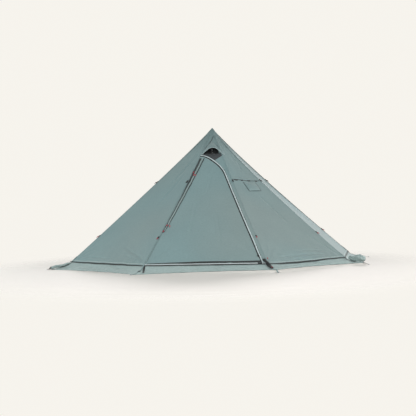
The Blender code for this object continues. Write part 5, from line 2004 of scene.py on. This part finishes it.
@dataclass
class Anchors:
    """The corner straps with their ladder-lock buckles. The rings stay as packed."""

    canopy: Canopy
    skirt: Skirt
    anchor_reach: float = 0.345
    wire: float = 0.0022
    webbing: float = 0.0015
    width: float = 0.020
    folded: tuple[int, ...] = (1, 5)
    sewn: tuple[int, ...] = (0, 1)

    def route(self, ridge: int) -> list[tuple[float, float]]:
        """Returns the strap's underside as (reach, height) pairs."""
        form = self.canopy.form
        hem = form.radius(ridge, form.hem_height)
        levels = (0.1174,) if ridge % form.sides == 0 else (0.175, 0.156, 0.1375, 0.118)
        line = [(form.radius(ridge, z) + 0.0034 * form.radial, z) for z in levels]
        line.append((hem + 0.0048, form.hem_height + 0.0012))
        for run in self.skirt.runs[1:]:
            point = self.skirt.point(ridge % form.sides, 0.0, run)
            line.append((math.hypot(point.x, point.y), point.z + 0.0012))
        line.append((hem + self.anchor_reach - self.wire - self.webbing, 0.0040))
        return line

    def strap(self, ridge: int) -> None:
        """Makes one strap with its end loop and ladder lock."""
        form = self.canopy.form
        azimuth = form.azimuth(ridge)
        away, right = form.outward(azimuth), form.across(azimuth)
        line = [away * reach + UP * height for reach, height in self.route(ridge)]
        outs = []
        for number in range(len(line)):
            run = line[min(number + 1, len(line) - 1)] - line[max(number - 1, 0)]
            outs.append(right.cross(-run).normalized())
        name = form.ridges[ridge]
        lower = len(line) - 13
        strap = ribbon("strap_" + name, Course(tuple(line[lower:]), tuple(outs[lower:])),
                       strap_outline(self.width, self.webbing),
                       self.canopy.wardrobe["seam_tape" if ridge in self.sewn else "black_webbing"])
        dress(strap, "root", "black_webbing", "corner_strap_" + name)
        if lower:
            sewn = ribbon("strap_end_" + name, Course(tuple(line[:lower + 1]), tuple(outs[:lower + 1])),
                          strap_outline(self.width, self.webbing), self.canopy.wardrobe["seam_tape"])
            dress(sewn, "root", "seam_tape")
        if ridge in self.folded:
            self.folded_tail(name, line, outs, right, ridge)
        hub = away * (form.radius(ridge, form.hem_height) + self.anchor_reach) + UP * 0.0046
        loop_points = []
        loop_outs = []
        for step in range(17):
            turn = math.tau * step / 16
            direction = away * math.cos(turn) + UP * math.sin(turn)
            loop_points.append(hub + direction * 0.0028)
            loop_outs.append(direction)
        loop = ribbon("strap_loop_" + name, Course(tuple(loop_points), tuple(loop_outs)),
                      strap_outline(self.width, self.webbing), self.canopy.wardrobe["black_webbing"])
        dress(loop, "root", "black_webbing")
        self.ladder(name, line, outs, right)

    def folded_tail(self, name: str, line: Sequence[Vector], outs: Sequence[Vector], right: Vector,
                    ridge: int) -> None:
        """Makes the strap's spare length, folded to and fro over the strap with a red cord on it.

        Args:
            name: the ridge's name.
            line: the strap's path.
            outs: its outward directions.
            right: direction across it.
            ridge: number of the ridge.
        """
        span = range(1, len(line) - 6)
        away = self.canopy.form.outward(self.canopy.form.azimuth(ridge))
        for number in range(3):
            points = []
            tops = []
            for step, index in enumerate(span):
                side = 0.011 * (number - 1) + 0.006 * math.sin(step * 0.9 + number * 2.0)
                aside = 0.034 * max(1.0 - step / 5, 0.0)
                rise = 0.0050 + 0.0034 * number + 0.0045 * math.sin(math.pi * step / (len(span) - 1))
                points.append(line[index] + right * (side - aside) + outs[index] * rise - away * aside * 0.41)
                tops.append((outs[index] + right * 0.25 * (number - 1)).normalized())
            piece = ribbon(f"strap_fold_{name}_{number}", Course(tuple(points), tuple(tops)),
                           strap_outline(0.028, 0.0034), self.canopy.wardrobe["black_webbing"])
            dress(piece, "root", "black_webbing")
        for number, index in enumerate((span[0], span[-1])):
            here = line[index] + outs[index] * 0.022 + right * 0.010 * (1 - 2 * number)
            knot(f"strap_knot_{name}_{number}", here, outs[index], self.canopy.wardrobe["red_cord"], "root")

    def loose_tail(self) -> None:
        """Makes the spare end of the front left strap, which lies down over the skirt."""
        points = [self.skirt.point(0, 0.004 + 0.061 * run, run) + UP * 0.0042
                  for run in split(0.04, 0.96, 24)]
        piece = ribbon("strap_tail_front_left", Course(tuple(points), tuple(UP for _ in points)),
                       strap_outline(0.024, 0.0026), self.canopy.wardrobe["black_webbing"])
        dress(piece, "root", "black_webbing")

    def ladder(self, name: str, line: Sequence[Vector], outs: Sequence[Vector], right: Vector) -> None:
        """Makes the ladder-lock buckle: a bent frame with three bars."""
        middle = len(line) - 8
        centre, out = line[middle], outs[middle]
        run = (line[middle + 1] - line[middle]).normalized()
        half_run, half_wide = 0.015, 0.015
        pieces = [((-half_run, -half_wide), (half_run, -half_wide)),
                  ((half_run, -half_wide), (half_run, half_wide)),
                  ((half_run, half_wide), (-half_run, half_wide)),
                  ((-half_run, half_wide), (-half_run, -half_wide)),
                  ((0.003, -half_wide), (0.003, half_wide))]
        for number, (start, end) in enumerate(pieces):
            points = []
            for share in split(0.0, 1.0, 6):
                x = start[0] + (end[0] - start[0]) * share
                y = start[1] + (end[1] - start[1]) * share
                points.append(centre + run * x + right * y
                              + out * (0.0030 + 0.0012 * math.cos(x / half_run * 1.5)))
            piece = ribbon(f"ladder_{name}_{number}", Course(tuple(points), tuple(out for _ in points)),
                           oval(0.0038, 0.0034, 8), self.canopy.wardrobe["black_plastic"])
            dress(piece, "root", "black_webbing")

    def build(self) -> None:
        """Makes all eight straps."""
        for ridge in range(self.canopy.form.sides):
            self.strap(ridge)
        self.loose_tail()


@dataclass
class Hardware:
    """Rigid pieces that stay as packed and only get their finish."""

    wardrobe: Wardrobe
    finishes: tuple[tuple[str, str], ...] = (
        ("pole_section_", "aluminium"), ("pole_foot", "rubber"), ("pole_tip", "black_plastic"),
        ("pole_cup", "black_plastic"), ("peg_ring_", "steel"), ("zip_slider", "black_plastic"),
        ("zip_pull", "black_plastic"), ("door_toggle_", "red_toggle"), ("vent_strut", "black_plastic"))

    def build(self, nodes: dict[str, object]) -> None:
        """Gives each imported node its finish.

        Args:
            nodes: the frame's nodes by name.
        """
        for node in nodes:
            for start, finish in self.finishes:
                if node.startswith(start):
                    data = bpy.data.objects[node].data
                    data.materials.clear()
                    data.materials.append(self.wardrobe[finish])
                    LOG.info("%s finished as %s", node, finish)


@dataclass
class Stitching:
    """Lines of stitches along the ridge seams."""

    canopy: Canopy
    pitch: float = 0.0085

    def build(self, repeat: RepeatTree) -> None:
        """Makes the stitches of every seam."""
        stitch = thread_shape(0.0055, 0.0012, 0.0006)
        for ridge in range(self.canopy.form.sides):
            name = "stitches_" + self.canopy.form.ridges[ridge]
            piece = repeat.along(name, self.canopy.stitch_courses(ridge), stitch, self.pitch,
                                 self.canopy.wardrobe["thread"])
            dress(piece, "root", "seam_tape")
        bpy.data.objects.remove(stitch)


@dataclass
class Studio:
    """Pale floor, soft light and the camera."""

    skirt: "Skirt"
    distance: float = 18.98
    turn: float = 3.45
    climb: float = 3.16
    pixels: float = 1289.0
    size: float = 416.0
    roll: float = 1.11
    centre: tuple[float, float] = (214.7, 256.3)
    pale: Colour = (0.925, 0.900, 0.845)
    floor_colour: Colour = (0.715, 0.680, 0.632)
    floor_middle: tuple[float, float] = (0.0, -1.3)
    floor_reach: tuple[float, float] = (4.4, 6.0)
    daylight: float = 0.24
    floor_glow: float = 0.04

    def camera(self) -> None:
        """Sets the camera so that the hem's middle falls where the photograph has it."""
        turn, climb = math.radians(self.turn), math.radians(self.climb)
        target = Vector((0.0, 0.0, 0.10))
        back = Vector((math.sin(turn) * math.cos(climb), -math.cos(turn) * math.cos(climb), math.sin(climb)))
        place = target + back * self.distance
        roll = math.radians(self.roll)
        dx = self.centre[0] - self.size / 2
        dy = self.size / 2 - self.centre[1]
        seen_x = dx * math.cos(roll) + dy * math.sin(roll)
        seen_y = -dx * math.sin(roll) + dy * math.cos(roll)
        right = Vector((math.cos(turn), math.sin(turn), 0.0))
        top = right.cross(-back).normalized()
        aim = -back * self.pixels - right * seen_x - top * seen_y
        look = aim.normalized()
        lens = bpy.data.cameras.new("camera")
        lens.lens = 36.0 * self.pixels / self.size
        lens.clip_end = 100.0
        view = bpy.data.objects.new("camera", lens)
        side = look.cross(UP).normalized()
        head = side.cross(look)
        side_rolled = side * math.cos(roll) - head * math.sin(roll)
        head_rolled = side * math.sin(roll) + head * math.cos(roll)
        matrix = view.matrix_world.copy()
        for row in range(3):
            matrix[row][0] = side_rolled[row]
            matrix[row][1] = head_rolled[row]
            matrix[row][2] = -look[row]
            matrix[row][3] = place[row]
        view.matrix_world = matrix
        bpy.context.scene.collection.objects.link(view)
        bpy.context.scene.camera = view

    def lamp(self, name: str, place: Vector, size: float, power: float, colour: Colour) -> None:
        """Adds a soft square lamp that points at the tent."""
        light = bpy.data.lights.new(name, "AREA")
        light.size = size
        light.energy = power
        light.color = colour
        lamp = bpy.data.objects.new(name, light)
        lamp.location = place
        lamp.visible_camera = False
        lamp.rotation_euler = (Vector((0.0, 0.0, 0.6)) - place).to_track_quat("-Z", "Y").to_euler()
        bpy.context.scene.collection.objects.link(lamp)

    def sun(self, name: str, back: Vector, strength: float, spread: float, colour: Colour) -> None:
        """Adds a wide far light, whose shadow has a soft edge.

        Args:
            name: the lamp's name.
            back: direction from the tent to the light.
            strength: light on a surface square to it.
            spread: width of the light seen from the tent, in degrees.
            colour: its colour.
        """
        light = bpy.data.lights.new(name, "SUN")
        light.energy = strength
        light.angle = math.radians(spread)
        light.color = colour
        lamp = bpy.data.objects.new(name, light)
        lamp.location = back * 12.0
        lamp.rotation_euler = back.to_track_quat("Z", "Y").to_euler()
        lamp.visible_glossy = False
        lamp.visible_camera = False
        bpy.context.scene.collection.objects.link(lamp)

    def seen_share(self, bench_tree: bpy.types.NodeTree, share: float) -> bpy.types.NodeSocket:
        """Returns share for rays that come straight, by reflection or through glass from the camera, else 0.

        Args:
            bench_tree: the node tree to add to.
            share: value for such rays.
        """
        ray = bench_tree.nodes.new("ShaderNodeLightPath")
        total = ray.outputs["Is Camera Ray"]
        for name in ("Is Glossy Ray", "Is Transmission Ray"):
            either = bench_tree.nodes.new("ShaderNodeMath")
            either.operation = "MAXIMUM"
            bench_tree.links.new(total, either.inputs[0])
            bench_tree.links.new(ray.outputs[name], either.inputs[1])
            total = either.outputs[0]
        scaled = bench_tree.nodes.new("ShaderNodeMath")
        scaled.operation = "MULTIPLY"
        scaled.inputs[1].default_value = share
        bench_tree.links.new(total, scaled.inputs[0])
        return scaled.outputs[0]

    def world(self) -> None:
        """Sets a pale world that lights evenly and is seen as the background."""
        world = bpy.data.worlds.new("pale_studio")
        world.use_nodes = True
        tree = world.node_tree
        tree.nodes.clear()
        out = tree.nodes.new("ShaderNodeOutputWorld")
        seen, light = tree.nodes.new("ShaderNodeBackground"), tree.nodes.new("ShaderNodeBackground")
        mix = tree.nodes.new("ShaderNodeMixShader")
        seen.inputs["Color"].default_value = (*self.pale, 1.0)
        light.inputs["Color"].default_value = (0.94, 0.98, 1.0, 1.0)
        light.inputs["Strength"].default_value = self.daylight
        tree.links.new(self.seen_share(tree, 1.0), mix.inputs["Fac"])
        tree.links.new(light.outputs[0], mix.inputs[1])
        tree.links.new(seen.outputs[0], mix.inputs[2])
        tree.links.new(mix.outputs[0], out.inputs["Surface"])
        bpy.context.scene.world = world

    def ground(self) -> bmesh.types.BMesh:
        """Returns the floor's mesh, with the slight rise that the skirt's higher edge rests on."""
        mesh = bmesh.new()
        form = self.skirt.canopy.form
        rings = ((-1.4, 0.0), (-0.5, 1.0), (-0.015, 1.0), (0.02, 0.86), (0.05, 0.55), (0.09, 0.22),
                 (0.13, 0.05),
                 (0.18, 0.0), (5.8, 0.0))
        spokes = []
        for face in range(form.sides):
            lifts = form.edge_lift[face], form.edge_lift[(face + 1) % form.sides]
            for step in range(24):
                share = step / 24
                edge = self.skirt.point(face, share, 1.0)
                away = Vector((edge.x, edge.y, 0.0))
                tight = 0.25 + 0.75 * min(min(share, 1.0 - share) / 0.06, 1.0)
                rise = max(form.hem_height * 0.9 * (lifts[0] + (lifts[1] - lifts[0]) * share) - 0.0015, 0.0)
                spokes.append([mesh.verts.new(away.normalized() * (away.length
                                                                   + off * (tight if 0 < off < 1 else 1))
                                              + UP * rise * high) for off, high in rings])
        hub = mesh.verts.new((0.0, 0.0, 0.0))
        for left, right in zip(spokes, spokes[1:] + spokes[:1]):
            mesh.faces.new((hub, left[0], right[0]))
            for a, b, c, d in zip(left, left[1:], right[1:], right):
                mesh.faces.new((a, b, c, d))
        return mesh

    def floor(self) -> None:
        """Makes a round floor that takes the shadow and fades into the background."""
        mesh = self.ground()
        bench = NodeBench("pale_floor")
        glow, soft = bench.add("ShaderNodeEmission"), bench.add("ShaderNodeMixShader")
        bench.shader.inputs["Base Color"].default_value = (*self.floor_colour, 1.0)
        glow.inputs["Color"].default_value = (*self.pale, 1.0)
        bench.shader.inputs["Roughness"].default_value = 0.9
        bench.shader.inputs["Specular IOR Level"].default_value = 0.0
        bench.join(self.seen_share(bench.tree, self.floor_glow), soft.inputs["Fac"])
        bench.join(bench.shader.outputs[0], soft.inputs[1])
        bench.join(glow.outputs[0], soft.inputs[2])
        gradient = bench.add("ShaderNodeTexGradient", gradient_type="SPHERICAL")
        shrink = bench.add("ShaderNodeMapping", vector_type="TEXTURE")
        shrink.inputs["Location"].default_value = (*self.floor_middle, 0.0)
        shrink.inputs["Scale"].default_value = (*self.floor_reach, 1.0)
        bench.join(bench.place(Coords.SOLID), shrink.inputs["Vector"])
        bench.join(shrink.outputs["Vector"], gradient.inputs["Vector"])
        fade = bench.add("ShaderNodeMapRange", interpolation_type="SMOOTHERSTEP")
        fade.inputs["From Min"].default_value = 0.05
        fade.inputs["From Max"].default_value = 0.60
        bench.join(gradient.outputs["Fac"], fade.inputs["Value"])
        clear, mix = bench.add("ShaderNodeBsdfTransparent"), bench.add("ShaderNodeMixShader")
        bench.join(fade.outputs["Result"], mix.inputs["Fac"])
        bench.join(clear.outputs[0], mix.inputs[1])
        bench.join(soft.outputs[0], mix.inputs[2])
        bench.join(mix.outputs[0], bench.output.inputs["Surface"])
        piece = as_object("floor", mesh, bench.material, smooth=False)

    def build(self) -> None:
        """Makes the studio."""
        self.world()
        self.floor()
        self.sun("back", Vector((0.0, 0.93, 0.34)), 4.1, 15.0, (0.96, 0.95, 1.0))
        self.lamp("left", Vector((-9.7, -3.9, 4.4)), 7.0, 560.0, (0.90, 0.975, 1.0))
        self.lamp("right", Vector((9.7, -3.2, 4.6)), 7.0, 670.0, (0.97, 0.985, 1.0))
        self.lamp("front", Vector((0.6, -11.5, 4.2)), 4.0, 500.0, (0.98, 0.99, 1.0))
        scene = bpy.context.scene
        scene.view_settings.view_transform = "Standard"


def main() -> None:
    """Builds the studio and every sub-assembly."""
    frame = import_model()
    wardrobe = Wardrobe()
    wardrobe.fill()
    form = TentForm()
    canopy = Canopy(form, Drape(form), wardrobe)
    skirt = Skirt(canopy)
    studio = Studio(skirt)
    studio.camera()
    repeat = RepeatTree("repeat_along_path")
    canopy.build()
    door = Door(canopy)
    door.build(repeat)
    Vent(canopy, door).build()
    StoveJack(canopy).build()
    skirt.build()
    Anchors(canopy, skirt).build()
    Stitching(canopy).build(repeat)
    Hardware(wardrobe).build(frame["nodes"])
    studio.build()


if __name__ == "__main__":
    logging.basicConfig(level=logging.INFO, format="%(message)s")
    main()
